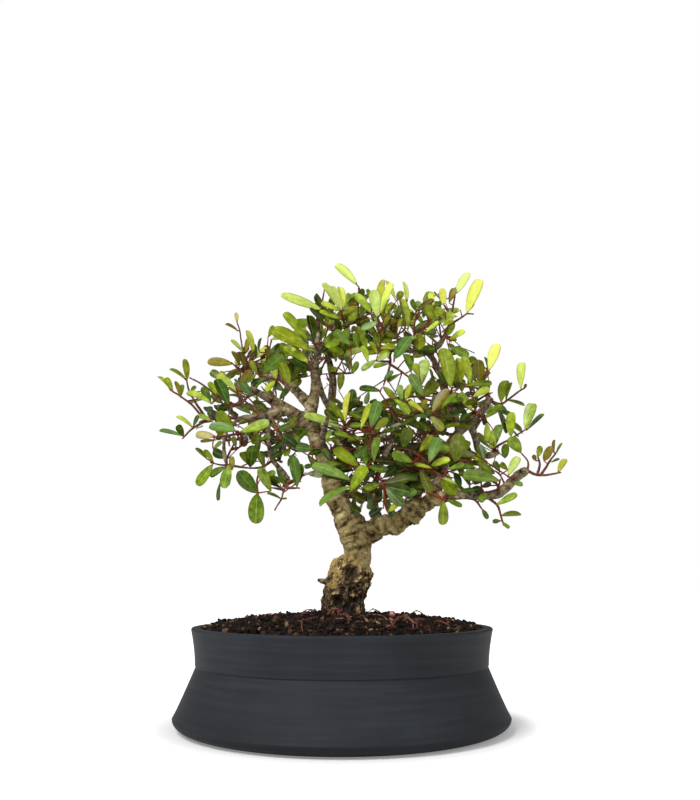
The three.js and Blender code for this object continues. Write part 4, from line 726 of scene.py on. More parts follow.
bark, tree, shader, place = material("mastic_tree_bark", 0.78, 0.15)
layers = []
for name in ("bark", "girth"):
    layer = add(tree, "Attribute", attribute_name=name).outputs["Vector"]
    layers += add(tree, "SeparateXYZ", [("Vector", layer)]).outputs
roughness, relief_shade, painted_hollow_shade, thinness, tan_share, _ = layers
mottle = add(tree, "TexNoise", [
    ("Vector", place), ("Scale", 1 / MOTTLE), ("Detail", 6), ("Roughness", 0.65)
])
winding = add(tree, "VectorMath", [
    (0, mottle.outputs["Color"]), (1, (WINDING,) * 3), (2, place)
], operation="MULTIPLY_ADD")
cells = add(tree, "Mapping", [("Vector", winding), ("Scale", [1 / size for size in CRACKLE])])
crackle = add(tree, "TexVoronoi", [("Vector", cells), ("Scale", 1)], feature="DISTANCE_TO_EDGE")
crackle = add(tree, "MapRange", [
    ("Value", crackle), ("From Max", 0.1), ("To Min", 1), ("To Max", 0)
])
crackled = add(tree, "TexNoise", [("Vector", place), ("Scale", 1 / CRACKLED), ("Detail", 2)])
crackled = add(tree, "MapRange", [
    ("Value", crackled), ("From Min", 0.4), ("From Max", 0.62), ("To Max", 0.36)
])
crackle = add(tree, "Math", [(0, crackle), (1, crackled)], operation="MULTIPLY")
fine = add(tree, "TexNoise", [("Vector", place), ("Scale", 1 / BARK_GRAIN), ("Detail", 4)])
level = add(tree, "Math", [(0, mottle), (1, 1.2), (2, -0.62)], operation="MULTIPLY_ADD")
# the relief is added here as painted light and shade
level = add(tree, "Math", [(0, level), (1, relief_shade)], operation="ADD")
level = add(tree, "Math", [(0, level), (1, crackle)], operation="SUBTRACT")
smooth = add(
    tree, "ValToRGB", [("Fac", level)],
    [(0.04, "#181006"), (0.97, "#B0A17A"), (0.22, "#46381D"), (0.42, "#6E5F38"), (0.68, "#8A7C54")],
)
slender = add(
    tree, "ValToRGB", [("Fac", level)], [(0.12, "#1F1913"), (0.92, "#968A72"), (0.5, "#605440")]
)
crumbly = add(tree, "TexNoise", [
    ("Vector", place), ("Scale", 1 / BARK_CRUMB), ("Detail", 8), ("Roughness", 0.7)
])
crumbly = add(tree, "Math", [(0, crumbly), (1, 2.5), (2, -1.25)], operation="MULTIPLY_ADD")
crumbly = add(tree, "Math", [(0, crumbly), (1, relief_shade)], operation="ADD")
old = add(
    tree, "ValToRGB", [("Fac", crumbly)],
    [(0.12, "#120B06"), (0.97, "#BDA66E"), (0.4, "#34261A"), (0.62, "#57452B"), (0.82, "#7F6A42")],
)
tan = add(tree, "ValToRGB", [("Fac", tan_share)], [(0.6, "#000000"), (0.7, "#FFFFFF")])
tan = add(tree, "Math", [(0, tan), (1, crumbly)], operation="MULTIPLY")
tan = add(tree, "Math", [(0, tan), (1, 1.1)], operation="MULTIPLY", use_clamp=True)
upper = add(tree, "Mix", [(0, thinness), (6, smooth), (7, slender)], data_type="RGBA")
patchy = add(tree, "Mix", [(0, tan), (6, old), (7, linear("#8A7344"))], data_type="RGBA")
whole = add(tree, "Mix", [(0, roughness), (6, upper), (7, patchy)], data_type="RGBA")
# painted shade in the hollows
with_hollow_shade = add(tree, "Mix", [(0, painted_hollow_shade), (6, whole), (7, linear("#1B120A"))], data_type="RGBA")
relief = add(tree, "Math", [(0, fine), (1, mottle)], operation="ADD")
bump = add(tree, "Bump", [("Height", relief), ("Strength", 0.7), ("Distance", 0.5 * MM)])
join(shader, [("Base Color", with_hollow_shade), ("Normal", bump)])
wood = piece("trunk_and_old_limbs", bm, bark)
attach(wood, "root")
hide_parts("trunk_and_limbs")

# Front shoots. Young red-brown twigs with leathery leaflets, as an eye before the tree sees them,
# on a view 700 wide and 800 high whose spots are (across, down). A shoot has its limb, its twigs as
# a depth and spots from foot to tip, and its leaflets as spots of base and tip, width and tone. A
# tone from 0, dark, to 99, bright, is partly the leaflet's own green and partly painted shade
# inside the crown and painted light where the leaflet is lit from behind. 100 more gives it a
# painted bluish sky reflection, and 200 more makes it bronze.

EYE = np.array((4.95, -544.4, 90.1))
EYE_TILT = 0.215
VIEW_SCALE = 816.3
VIEW_MIDDLE = (350, 400)
TWIG_BALL = 1.35
TWIG_STEP = 2.5
TWIG_SHIFTS = (0, -3, 3, -6, 6, -9, 9, -12)  # in depth, tried one after the other
FOOT_ZONE = 12  # near its foot a twig may touch the limb that carries it
CLEARANCE = 0.5
LEAFLET_STEP = 1.5  # in depth, from one try to the next
LEAFLET_TRIES = 13
LEAFLET_LEAN = 0.35  # furthest that a leaflet leans to or from the eye
LONGEST_SHARE = 1.5  # of the length that is seen
STEEPEST_ROLL = 1.15
FAVOURED = 0.8
WIDTH_SHARE = 0.44  # of a leaflet's length
DEEPEST_DROOP = 0.14
STALK_HALF = 0.55
SHARPEST_BEND = -0.3
BALL_ROWS = ((0.12, 0.35), (0.3, 0.7), (0.48, 0.95), (0.66, 1), (0.84, 0.85), (1, 0.4))
BALL_SPOTS = (-0.36, 0, 0.36)
BALL_SHARE = 0.115

FRONT_SHOOTS = [
    ["leftStub",
     [[-30, 240, 418, 207, 418, 190, 403, 172, 391], [-36, 209, 420, 192, 429, 184, 437],
      [-32, 205, 414, 191, 395, 187, 381]],
     [[211, 421, 198, 414, 5, 60], [193, 427, 198, 416, 4, 20], [184, 436, 178, 427, 8, 25],
      [183, 436, 160, 428, 3, 140], [193, 428, 177, 415, 4, 65], [170, 389, 157, 375, 2, 55],
      [180, 397, 177, 380, 4.5, 255], [181, 396, 182.5, 384, 5, 45], [173, 391, 166, 378, 6, 45],
      [191, 391, 195, 386, 4, 45], [186, 380, 171, 368, 2, 40],
      [187, 380, 186.5, 359.5, 6.5, 55]]],
    ["leftLow",
     [[-22, 252, 389, 238, 405, 218, 396, 205, 386, 192, 379], [-20, 240, 403, 237, 391]],
     [[211, 403, 203, 388, 8, 30], [217, 395, 209, 382, 6, 50], [220, 396, 221, 372, 10, 56],
      [228, 405, 218, 379, 11, 125], [236, 391, 222, 377, 6, 65], [252, 396, 242, 383, 8, 130],
      [212, 404, 188, 392, 6, 60]]],
    ["leftHigh",
     [[14, 255, 384, 252, 372, 244, 355, 240, 333, 237, 322], [10, 252, 372, 241, 371, 233, 364],
      [16, 250, 366, 253, 352]],
     [[256, 358, 255, 344, 5, 40], [246, 352, 248, 338, 5, 240], [245, 368, 240, 352, 6, 240],
      [240, 366, 234, 349, 5, 235], [243, 352, 232, 340, 4, 70], [253, 352, 248.5, 330.5, 6, 85],
      [233, 364, 208, 360, 9, 245], [237, 322, 236.5, 312.5, 4, 290],
      [238, 331, 226, 324, 2, 240], [240, 383, 244, 367, 3.5, 75]]],
    ["leftHigh",
     [[6, 272, 378, 266, 363, 271, 343]],
     [[259, 352, 261, 337, 2.5, 20], [268, 361, 266, 349, 4, 240], [262, 374, 281, 355, 14, 42]]],
    ["leftHigh",
     [[2, 284, 380, 287, 386]],
     [[289, 385, 281, 362, 10, 40]]],
    ["leftStub",
     [[-34, 262, 417, 250, 425, 241, 438, 240, 447, 232, 450], [-34, 243, 434, 215, 437],
      [-36, 247, 429, 262, 430]],
     [[213, 449, 222, 442, 4, 35], [236, 447, 233, 437, 5, 40], [258, 432, 254, 444, 8, 40],
      [233, 429, 219, 416, 12, 50], [216, 440, 201, 441, 3, 225], [215, 436, 195, 434.5, 8, 255],
      [236, 431, 209, 424, 10, 145], [240, 432, 269, 423, 10, 52]]],
    ["hangingOuter",
     [[-34, 225, 456, 226, 465, 213, 463], [-36, 226, 465, 229, 482], [-32, 226, 465, 248, 468]],
     [[207, 459, 196, 446.5, 4, 30], [213, 462, 205, 449, 5, 50], [225, 467, 210, 475, 7, 40],
      [220, 483, 216, 500, 1.5, 20], [232, 470, 232, 457, 6, 255], [229, 465, 223, 488, 11, 50],
      [213, 464, 197.5, 485, 10, 40]]],
    ["hanging",
     [[-30, 272, 463, 262, 467, 251, 468], [-36, 262, 467, 257, 480, 258, 493]],
     [[250, 467, 253, 448, 14, 28], [271, 491, 260, 469, 10, 38], [257, 493, 239, 474, 15, 38],
      [257, 494, 255, 521, 16, 35]]],
    ["hanging",
     [[-32, 289, 479, 284, 490, 281, 500, 276, 508], [-30, 284, 489, 273, 488],
      [-26, 286, 487, 297, 488]],
     [[285, 485, 273, 476, 4, 32], [281, 499, 268, 492, 2.5, 35], [281, 499, 287, 498, 1.5, 30],
      [312, 489, 291, 490, 8, 22], [297, 487, 295, 456, 11, 145]]],
    ["leftStub",
     [[-24, 270, 415, 282, 440, 297, 451, 310, 449]],
     [[300, 448, 282, 436, 10, 15], [282, 442, 275, 447, 6, 25], [290, 448, 285, 456, 6, 45],
      [313, 465, 305, 467, 5, 30], [290, 424, 280, 430, 7, 135], [313, 449, 297, 447, 9, 140]]],
    ["trunk",
     [[-9, 314, 372, 308, 360, 308, 341]],
     [[308, 368, 294, 359, 10, 20], [308, 341, 285.5, 312.5, 9, 55], [293, 357, 284, 345, 6, 48],
      [310, 351, 276, 327.5, 14, 46], [308, 362, 293, 350, 8, 58]]],
    ["trunk",
     [[-2, 318, 323, 321, 309, 324, 292]],
     [[321, 309.5, 283, 294, 9, 78]]],
    ["trunk",
     [[-9, 317, 348, 313, 342]],
     [[314, 342, 309, 314, 9, 14]]],
    ["second",
     [[4, 327, 352, 338, 340, 348, 326, 357, 302, 360, 290, 357, 285], [-2, 346, 330, 341, 312],
      [0, 336, 343, 331, 326]],
     [[326, 326, 312, 308, 3, 10], [343, 347, 347, 329, 8, 35], [341, 343, 327, 352, 10, 20],
      [340, 319, 320, 311, 5, 58], [340, 311, 322, 302, 5.5, 72], [341, 310, 327, 283, 7, 85],
      [342, 310, 333, 285, 6, 88], [342.5, 309, 338.5, 284.5, 7.5, 85],
      [343, 332, 325, 346, 14, 48], [349, 325, 351.5, 288.5, 13, 48],
      [357, 285, 336.5, 266.5, 8.5, 92]]],
    ["arch",
     [[-4, 381, 350, 379, 335, 378, 318], [-8, 379, 333, 371, 314],
      [2, 379, 330, 390, 322, 388, 316]],
     [[372, 303, 368.5, 289.5, 4, 45], [383, 316, 388.5, 296, 4, 48],
      [380, 315, 380.5, 280, 8, 66], [371, 313, 357, 294, 8, 64], [361, 317, 367, 308, 4, 30],
      [396, 301, 386, 278, 4, 95], [381, 313, 388, 284, 7, 86], [378, 322, 362, 329, 7, 45],
      [366, 350, 360, 322, 9, 58], [374, 344, 366, 333, 5, 115], [377, 317, 375, 291, 12, 74]]],
    ["arch",
     [[-14, 388, 352, 390, 364, 384, 384], [-12, 390, 362, 376, 361], [-12, 390, 364, 412, 379]],
     [[368, 362, 363, 345, 6, 60], [388, 364, 373, 366, 5, 44], [376, 360, 361, 370, 6, 52],
      [376, 361, 388, 353, 6, 52], [384, 381, 392, 371, 5, 30], [400, 374, 387, 381.5, 4, 30]]],
    ["arch",
     [[0, 399, 350, 398, 335, 405, 328, 407, 302]],
     [[403.5, 326, 401, 300, 3, 250], [396, 338, 398, 301, 8, 46], [406, 302, 405, 280, 5, 99],
      [408, 330, 402, 299, 5, 58]]],
    ["arch",
     [[-10, 397, 350, 394, 361]],
     [[394, 359, 411, 336, 12, 138]]],
    ["arch",
     [[2, 413, 351, 414, 332, 416, 312], [-2, 414, 333, 434, 324, 443, 321]],
     [[434, 306, 430, 294, 6, 84], [428, 318, 421, 306, 4, 35], [417, 311, 431.5, 299, 6, 220],
      [436, 321, 428, 307, 9, 50], [446, 319, 443.5, 312, 4, 245], [437, 324, 445, 319.5, 4, 40],
      [425, 333, 438, 321, 4, 66], [414, 331, 432, 316, 6, 45], [413, 330, 410, 305, 8, 76],
      [414, 332, 430, 323, 5, 60], [419, 333, 421, 352, 11, 44]]],
    ["archTip",
     [[6, 449, 325, 454, 302, 455, 290], [4, 450, 320, 445, 306, 436, 294],
      [2, 450, 326, 462, 317, 467, 314, 471, 314], [6, 450, 322, 446, 334, 450, 340]],
     [[449, 303, 454, 289, 6.5, 240], [444, 305, 442, 289, 7.5, 84],
      [457, 293, 469, 270, 8.5, 99], [467, 312, 474.5, 301, 5, 60],
      [467, 313, 478, 281, 11.5, 90], [450, 340, 466, 331, 5.5, 80]]],
    ["arch",
     [[-14, 446, 388, 434, 400, 422, 398]],
     [[411, 372, 405, 352, 7, 35], [420, 378, 414, 365, 7, 50], [421, 386, 425, 357, 12, 56],
      [424, 396, 437, 378, 13, 42], [424, 397, 411, 375, 10, 145]]],
    ["arch",
     [[-16, 449, 398, 452, 388], [-14, 450, 396, 440, 411]],
     [[441, 409, 455, 391, 6, 45], [433, 412, 447, 388, 10, 236], [450, 387, 446, 347, 15, 50]]],
    ["rightUp",
     [[2, 475, 417, 474, 400, 469, 386], [4, 474, 402, 483, 383, 489, 371]],
     [[460, 383, 458, 358, 9, 58], [470, 385, 466, 356, 8, 64], [465, 386, 490, 381, 6, 34],
      [480, 383, 478, 363, 11, 236], [488, 371, 485, 356, 3, 30], [489, 371, 497, 342.5, 11, 94],
      [472, 411, 461, 392, 8, 55]]],
    ["rightUp",
     [[0, 480, 413, 485, 419]],
     [[485, 418, 503, 405, 7, 45]]],
    ["rightUp",
     [[8, 488, 400, 500, 404, 507, 400, 520, 391, 524, 388]],
     [[506, 400, 511, 383, 2, 30], [507, 400, 525, 405, 2, 30], [501, 402, 505, 377.5, 10.5, 46],
      [521, 389, 521.5, 363.5, 8.5, 93], [524, 389, 526, 385, 3, 30]]],
    ["spur",
     [[0, 490, 455, 496, 447, 510, 439, 525, 430]],
     [[505, 458, 505, 446, 8, 40], [495, 447, 499, 423, 9, 58], [511, 437, 511, 412, 9.5, 62],
      [527, 430, 544, 412, 3.5, 45], [525, 430, 535, 402, 11, 62]]],
    ["right",
     [[-26, 526, 471, 537, 475, 548, 475, 558, 473], [-30, 541, 475, 548, 464, 556, 453],
      [-24, 537, 475, 540, 464, 538, 457], [-20, 527, 471, 528, 462, 521, 453]],
     [[521, 453, 511, 437, 12, 52], [552, 462, 560, 458, 2.5, 40], [554, 453, 555, 440, 3, 240],
      [556, 453, 562, 443, 1.5, 40], [536, 461, 533, 455, 5, 240], [538, 457, 541, 447, 6, 58],
      [544, 461, 550, 448, 8, 252], [558, 473, 565, 457, 6.5, 80]]],
    ["right",
     [[-30, 517, 476, 509, 477]],
     [[512, 482, 524, 485, 5, 50], [508, 476, 518, 457, 8.5, 74]]],
    ["right",
     [[-22, 486, 496, 497, 505, 501, 517, 503, 523]],
     [[500, 521, 493, 521, 4.5, 30], [502, 522, 509, 528, 3.5, 40], [501, 516, 522, 511, 6, 50],
      [496, 505, 516, 494, 7, 60]]],
    ["right",
     [[-20, 466, 496, 476, 501, 482, 509]],
     [[482, 509, 488, 518, 5, 25]]],
    ["right",
     [[-32, 495, 494, 500, 481]],
     [[491, 492, 497, 483, 8, 50], [500, 481, 464, 474, 12, 142]]],
    ["right",
     [[-30, 489, 495, 487, 492]],
     [[487, 493, 479, 501, 9, 35]]],
    ["right",
     [[-22, 448, 497, 444, 500]],
     [[447, 500, 462, 506, 5, 50], [443, 500, 444, 525, 10, 42]]],
    ["rightUp",
     [[-26, 439, 482, 431, 468, 415, 452, 396, 448], [-28, 433, 472, 445, 478]],
     [[415, 466, 397, 462, 4, 30], [413, 462, 392, 454, 10, 38], [432, 468, 415, 464, 3, 60],
      [420, 470, 432, 492, 10, 28], [403, 448, 408, 430, 13, 140], [420, 452, 433, 434, 8, 50],
      [431, 466, 449, 459, 7, 60], [429, 463, 437, 439, 12, 150], [442, 480, 455, 494, 12, 40],
      [442, 478, 455, 482, 2.5, 70]]],
    ["rightUp",
     [[-20, 448, 450, 455, 460]],
     [[455, 462, 460, 438, 16, 152]]],
    ["right",
     [[-14, 505, 487, 500, 475, 493, 470]],
     [[508, 470, 500, 463, 6, 35], [500, 472, 494, 462, 6, 35], [493, 472, 478, 463, 8, 42]]],
    ["middle",
     [[-42, 381, 464, 362, 468, 352, 479, 350, 489]],
     [[350, 482, 322, 474, 6, 20], [358, 466, 334, 448, 12, 42], [350, 492, 364, 466, 12, 45],
      [350, 480, 314, 461, 11, 152], [351, 487, 318, 502, 6, 42]]],
    ["middle",
     [[-32, 377, 476, 384, 487]],
     [[383, 478, 398, 467, 9, 20], [384, 484, 410, 479, 10, 15], [381, 484, 362, 490, 8, 34],
      [384, 486, 410, 492, 12, 18], [388, 512, 397, 504, 6, 60], [386, 488, 402, 505, 11, 22],
      [405, 500, 416, 488, 8, 140]]],
    ["middle",
     [[-34, 386, 454, 375, 460, 370, 445, 372, 429]],
     [[371, 460, 366, 438, 8, 38], [374, 462, 378, 438, 8, 44], [374, 430, 387, 419, 8, 44],
      [361, 429, 370, 404, 7, 60], [371, 427, 378, 402, 12, 138]]],
    ["middle",
     [[-28, 400, 424, 405, 416, 416, 411], [-26, 400, 424, 390, 408, 380, 392]],
     [[380, 391, 360, 387, 6, 18], [383, 387, 397, 399, 7, 45], [388, 405, 405, 398, 8, 20],
      [402, 400, 399, 386, 7, 58], [406, 400, 411, 385, 6, 60], [421, 411, 426, 398, 5, 248],
      [394, 399, 410, 414, 7, 50], [424, 413, 409, 402, 5, 64]]],
    ["rightUp",
     [[-20, 443, 466, 438, 455, 438, 435, 431, 417]],
     [[438, 411, 425, 413, 6, 150], [430, 416, 444, 429, 9, 40]]],
    ["second",
     [[-14, 341, 438, 344, 430, 345, 423]],
     [[338, 421, 325, 411, 8, 28], [344, 421, 330, 403, 6, 45], [346, 432, 360, 445, 8, 25],
      [345.5, 423, 348, 390, 4.5, 84], [341, 428, 306, 412.5, 8, 68]]],
    ["second",
     [[0, 345, 444, 358, 424, 351, 412]],
     [[350, 411, 352.5, 392, 10, 25]]],
    ["trunk",
     [[-20, 324, 464, 331, 461, 331, 446]],
     [[330, 460, 335, 440, 12, 15], [331, 462, 324, 449, 7, 130], [326, 440, 331, 430, 5, 60]]],
    ["second",
     [[8, 332, 378, 343, 360, 352, 352], [4, 334, 374, 352, 373]],
     [[352, 373, 358, 363, 6, 40], [342, 358, 361, 349, 6, 50]]],
]


def seeded(seed):
    """A draw from 0 to 1 by 32-bit arithmetic, which is the same everywhere."""
    state, most, stride = [seed], 0xFFFFFFFF, 0x6D2B79F5

    def drawn():
        state[0] = (state[0] + stride) & most
        mixed = ((state[0] ^ (state[0] >> 15)) * (1 | state[0])) & most
        mixed = ((mixed + (((mixed ^ (mixed >> 7)) * (61 | mixed)) & most)) ^ mixed) & most
        return (mixed ^ (mixed >> 14)) / (most + 1)

    return drawn


draw = seeded(7)


def between(low, high):
    """The next draw, spread from low to high."""
    return low + (high - low) * draw()


def unit(vector):
    """A vector's direction."""
    return vector / np.linalg.norm(vector)


def from_view(across, down, depth):
    """Point of the view at a depth along Y."""
    right, up = (across - VIEW_MIDDLE[0]) / VIEW_SCALE, (VIEW_MIDDLE[1] - down) / VIEW_SCALE
    ahead = math.cos(EYE_TILT) - up * math.sin(EYE_TILT)
    rise = math.sin(EYE_TILT) + up * math.cos(EYE_TILT)
    reach = (depth - EYE[1]) / ahead
    return np.array((EYE[0] + reach * right, depth, EYE[2] + reach * rise))


def in_view(point):
    """Spot of the view where a point is seen, and millimetres for one of its units there."""
    x, y, z = point - EYE
    distance = y * math.cos(EYE_TILT) + z * math.sin(EYE_TILT)
    height = z * math.cos(EYE_TILT) - y * math.sin(EYE_TILT)
    return (
        VIEW_MIDDLE[0] + VIEW_SCALE * x / distance, VIEW_MIDDLE[1] - VIEW_SCALE * height / distance,
        distance / VIEW_SCALE,
    )


def stepped(points, step):
    """A line through points, cut into short steps."""
    fine = [points[0]]
    for a, b in zip(points, points[1:]):
        count = max(1, math.ceil(math.sqrt(((b - a) ** 2).sum()) / step))
        fine += [a + (b - a) * (k / count) for k in range(1, count + 1)]
    return fine


def nearest_seen(line, across, down):
    """The point of a line that is seen nearest to a spot."""
    offs = []
    for point in line:
        seen = in_view(point)
        offs.append(math.hypot(seen[0] - across, seen[1] - down))
    return line[offs.index(min(offs))]


# Balls stand for what is already placed, so that nothing grows through it: a ball has its centre,
# its radius, the number of its limb or shoot, and the number of its twig.
MOST_BALLS = 40000
FIRST_SHOOT = 100  # limbs have lower numbers, and the shoots at the back start at twice this
NO_OWNER = -1

balls = np.zeros((MOST_BALLS, 6))
ball_count = 0


def place_balls(centres, radii, owner, twig=NO_OWNER):
    """Adds balls to what is placed."""
    global ball_count
    for centre, radius in zip(centres, radii):
        balls[ball_count] = (*centre, radius, owner, twig)
        ball_count += 1


def is_clear(centres, radii, near=None, skipped=None, gap=CLEARANCE):
    """Whether balls clear all that is placed. Those that are near skip the skipped ones."""
    centres, radii = np.array(centres), np.array(radii)
    placed = balls[:ball_count]
    middle = centres.mean(axis=0)
    reach = np.linalg.norm(centres - middle, axis=1).max() + radii.max() + gap + 0.1
    close = np.linalg.norm(placed[:, :3] - middle, axis=1) < reach + placed[:, 3]
    placed = placed[close]
    off = np.sqrt(((centres[:, None] - placed[None, :, :3]) ** 2).sum(axis=2))
    hit = off <= placed[:, 3] + radii[:, None] + gap
    if skipped is not None:
        passes = np.ones(len(centres), bool) if near is None else np.array(near)
        hit &= ~(passes[:, None] & skipped[close][None])
    return not hit.any()


limb_names = list(LIMBS)
for number, points in enumerate(LIMBS.values()):
    for a, b in zip(points, points[1:]):
        for part in (0, 1 / 3, 2 / 3, 1):  # balls that overlap along the limb
            x, y, z, radius = (p + (q - p) * part for p, q in zip(a, b))
            place_balls([(x, y, z)], [radius], number)


def grow_twig_seen(shoot, carrier, numbers):
    """A twig through its spots, from the line that carries it, moved in depth until it is clear."""
    depth, spots = numbers[0], list(zip(numbers[1::2], numbers[2::2]))
    foot = nearest_seen(carrier, *spots[0])
    travelled = [0]
    for a, b in zip(spots, spots[1:]):
        travelled.append(travelled[-1] + math.hypot(b[0] - a[0], b[1] - a[1]))
    placed = balls[:ball_count]
    own = placed[:, 4] == shoot
    at_foot = np.sqrt(((placed[:, :3] - foot) ** 2).sum(axis=1)) < FOOT_ZONE
    skipped = own | (at_foot & (placed[:, 4] >= 0) & (placed[:, 4] < FIRST_SHOOT))
    for shift in TWIG_SHIFTS:
        points = [foot]
        for spot, way in zip(spots[1:], travelled[1:]):
            share = way / travelled[-1]
            points.append(from_view(*spot, (1 - share) * foot[1] + share * (depth + shift)))
        fine = stepped(points, TWIG_STEP)
        if is_clear(fine[1:], [TWIG_BALL] * (len(fine) - 1), None, skipped):
            return points, fine
    return None


def lay_out_leaflet(row, depth, lean, forward, turned_up, droop):
    """A leaflet over its spots, its base at a depth, turned on its midrib as its width asks."""
    base = from_view(row[0], row[1], depth)
    one = in_view(base)[2]
    length = math.hypot(row[2] - row[0], row[3] - row[1]) * one
    width = row[4] * one
    full = min(width / WIDTH_SHARE, LONGEST_SHARE * length)
    if full * math.cos(lean) > length:
        lean = math.acos(length / full) * (-1 if forward else 1)
    size = length / math.cos(lean)
    tip = from_view(row[2], row[3], depth + size * math.sin(lean))
    way = unit(tip - base)
    aside = unit(np.cross(way, unit(EYE - base)))
    flat = np.cross(aside, way)
    breadth = WIDTH_SHARE * size
    roll = min(STEEPEST_ROLL, math.acos(min(1, width / breadth)))
    upward = 1 if aside[2] * turned_up > 0 else -1
    face = flat * math.cos(roll) + aside * (math.sin(roll) * upward * turned_up)
    return {
        "base": base, "way": way, "face": face, "across": np.cross(face, way), "size": size,
        "breadth": breadth, "droop": droop,
    }


def on_leaflet(leaflet, share, off):
    """A point of a leaflet: share of its length, and millimetres to its left."""
    fall = leaflet["droop"] * leaflet["size"] * share * share
    return (
        leaflet["base"] + leaflet["way"] * (share * leaflet["size"]) + leaflet["across"] * off
        - leaflet["face"] * fall
    )


def leaflet_balls(leaflet, root):
    """Balls over a leaflet and its stalk, and which of them are near the twig."""
    centres, near = [], []
    for i, (share, width) in enumerate(BALL_ROWS):
        for spot in BALL_SPOTS:
            centres.append(on_leaflet(leaflet, share, spot * width * leaflet["breadth"]))
            near.append(i == 0)
    radii = [BALL_SHARE * leaflet["size"]] * len(centres)
    stalk = stepped([root, leaflet["base"]], TWIG_STEP)[1:]
    return centres + stalk, radii + [STALK_HALF] * len(stalk), near + [True] * len(stalk)


def grow_leaflet(shoot, line, row):
    """A leaflet on the nearest point of its shoot, moved in depth until it is clear."""
    root = nearest_seen(line, row[0], row[1])
    skipped = balls[:ball_count, 4] == shoot
    for attempt in range(2 * LEAFLET_TRIES):
        away = -attempt if attempt < LEAFLET_TRIES else attempt - LEAFLET_TRIES + 1
        lean = between(-LEAFLET_LEAN, LEAFLET_LEAN)
        forward = draw() < FAVOURED
        turned_up = 1 if draw() < FAVOURED else -1
        droop = between(0, DEEPEST_DROOP)
        leaflet = lay_out_leaflet(
            row, root[1] + away * LEAFLET_STEP, lean, forward, turned_up, droop
        )
        stalk = leaflet["base"] - root
        if stalk @ leaflet["way"] < SHARPEST_BEND * np.linalg.norm(stalk):
            continue
        centres, radii, near = leaflet_balls(leaflet, root)
        if is_clear(centres, radii, near, skipped):
            place_balls(centres, radii, shoot)
            return {**leaflet, "root": root, "tone": row[5]}
    return None


shoots = []  # twigs as fine lines, and leaflets
for number, (limb, twigs, _) in enumerate(FRONT_SHOOTS):
    owner = FIRST_SHOOT + number
    carrier = stepped([np.array(p[:3], float) for p in LIMBS[limb]], TWIG_STEP)
    shoot = {"owner": owner, "twigs": [], "leaflets": [], "lines": []}
    for numbers in twigs:
        twig = grow_twig_seen(owner, carrier, numbers)
        if twig:
            shoot["twigs"].append(twig[0])
            shoot["lines"].append(twig[1])
            carrier = [point for line in shoot["lines"] for point in line]
            place_balls(twig[1], [TWIG_BALL] * len(twig[1]), owner)
    shoots.append(shoot)
for shoot, (_, _, rows) in zip(shoots, FRONT_SHOOTS):
    line = [point for twig in shoot["lines"] for point in twig]
    grown = [grow_leaflet(shoot["owner"], line, row) for row in rows]
    shoot["leaflets"] = [leaflet for leaflet in grown if leaflet]

# Back shoots. Behind, twigs fork from the limbs and end in a tuft of pinnate leaves each.

BACK_SHOOTS = [  # limb, share of its length, and tips: x, y, z, leaves and leaflet length
    ["leftLow", 0.9, [-70, 24, 214, 1, 15]],
    ["second", 0.95, [-12, 34, 282, 1, 17], [-26, 38, 262, 1, 16]],
    ["arch", 0.68, [50, 28, 272, 1, 16], [16, 26, 262, 1, 16]],
    ["rightUp", 1, [96, 30, 232, 1, 17], [112, 22, 206, 1, 17]],
    ["backLeft", 1, [-62, 62, 212, 1, 16], [-46, 74, 234, 1, 16]],
    ["backLeft", 0.6, [-54, 44, 188, 2, 16]],
    ["backMiddle", 1, [-2, 80, 270, 1, 16], [-38, 78, 260, 1, 16]],
    ["backRight", 1, [74, 72, 208, 1, 16], [46, 76, 200, 1, 16]],
    ["backRight", 0.62, [84, 52, 174, 1, 16]],
]
BACK_TWIG_BALL = 1.6
FORK_SHARE = 0.5
TIP_SHORTFALL = 15  # the twig ends this far before its tip, and leaves reach on
BACK_TWIG_STEPS = 8
BACK_TWIG_TRIES = 60
BACK_TWIG_SPREAD = (0.06, 0.008)  # share of its length that its bend may move, and more each try
BACK_TWIG_BEND = (0.45, 0.25)
LEAF_TRIES = 60
LEAFY_SHARE = 0.62  # of the twig, from its tip
STALK_ZONE = 7
PETIOLE = 6
PAIR_SPACING = 7
PAIR_CLOSING = 0.1  # how much less each pair opens than the one before
LEAFLET_BASE = 1.5
STALK_HALF_WIDTH = 0.6
BLADE_THICK = 0.8
GOLDEN_TURN = 2.4  # from one leaf to the next round a twig
ONE_PAIR, TWO_PAIRS = 0.15, 0.72  # chances
BACK_TONE = 30
BACK_STARTS = 22
CROWN_HEART = np.array((10, 0, 180))
UP = np.array((0, 0, 1.0))
FRONT = np.array((0, -1.0, 0))
BACK_BALLS = ((0.16, 0.34), (0.4, 0.5), (0.64, 0.5), (0.88, 0.34))


def on_bow(twig, share):
    """A point of a bowed twig."""
    foot, bend, tip = twig
    return foot * (1 - share) ** 2 + bend * (2 * share * (1 - share)) + tip * share**2


def on_limb(name, share):
    """A point at a share of a limb's length."""
    points = [np.array(p[:3], float) for p in LIMBS[name]]
    lengths = [math.sqrt(((b - a) ** 2).sum()) for a, b in zip(points, points[1:])]
    left, i = share * sum(lengths), 0
    while i < len(lengths) - 1 and left > lengths[i]:
        left -= lengths[i]
        i += 1
    return points[i] + (points[i + 1] - points[i]) * (left / lengths[i])


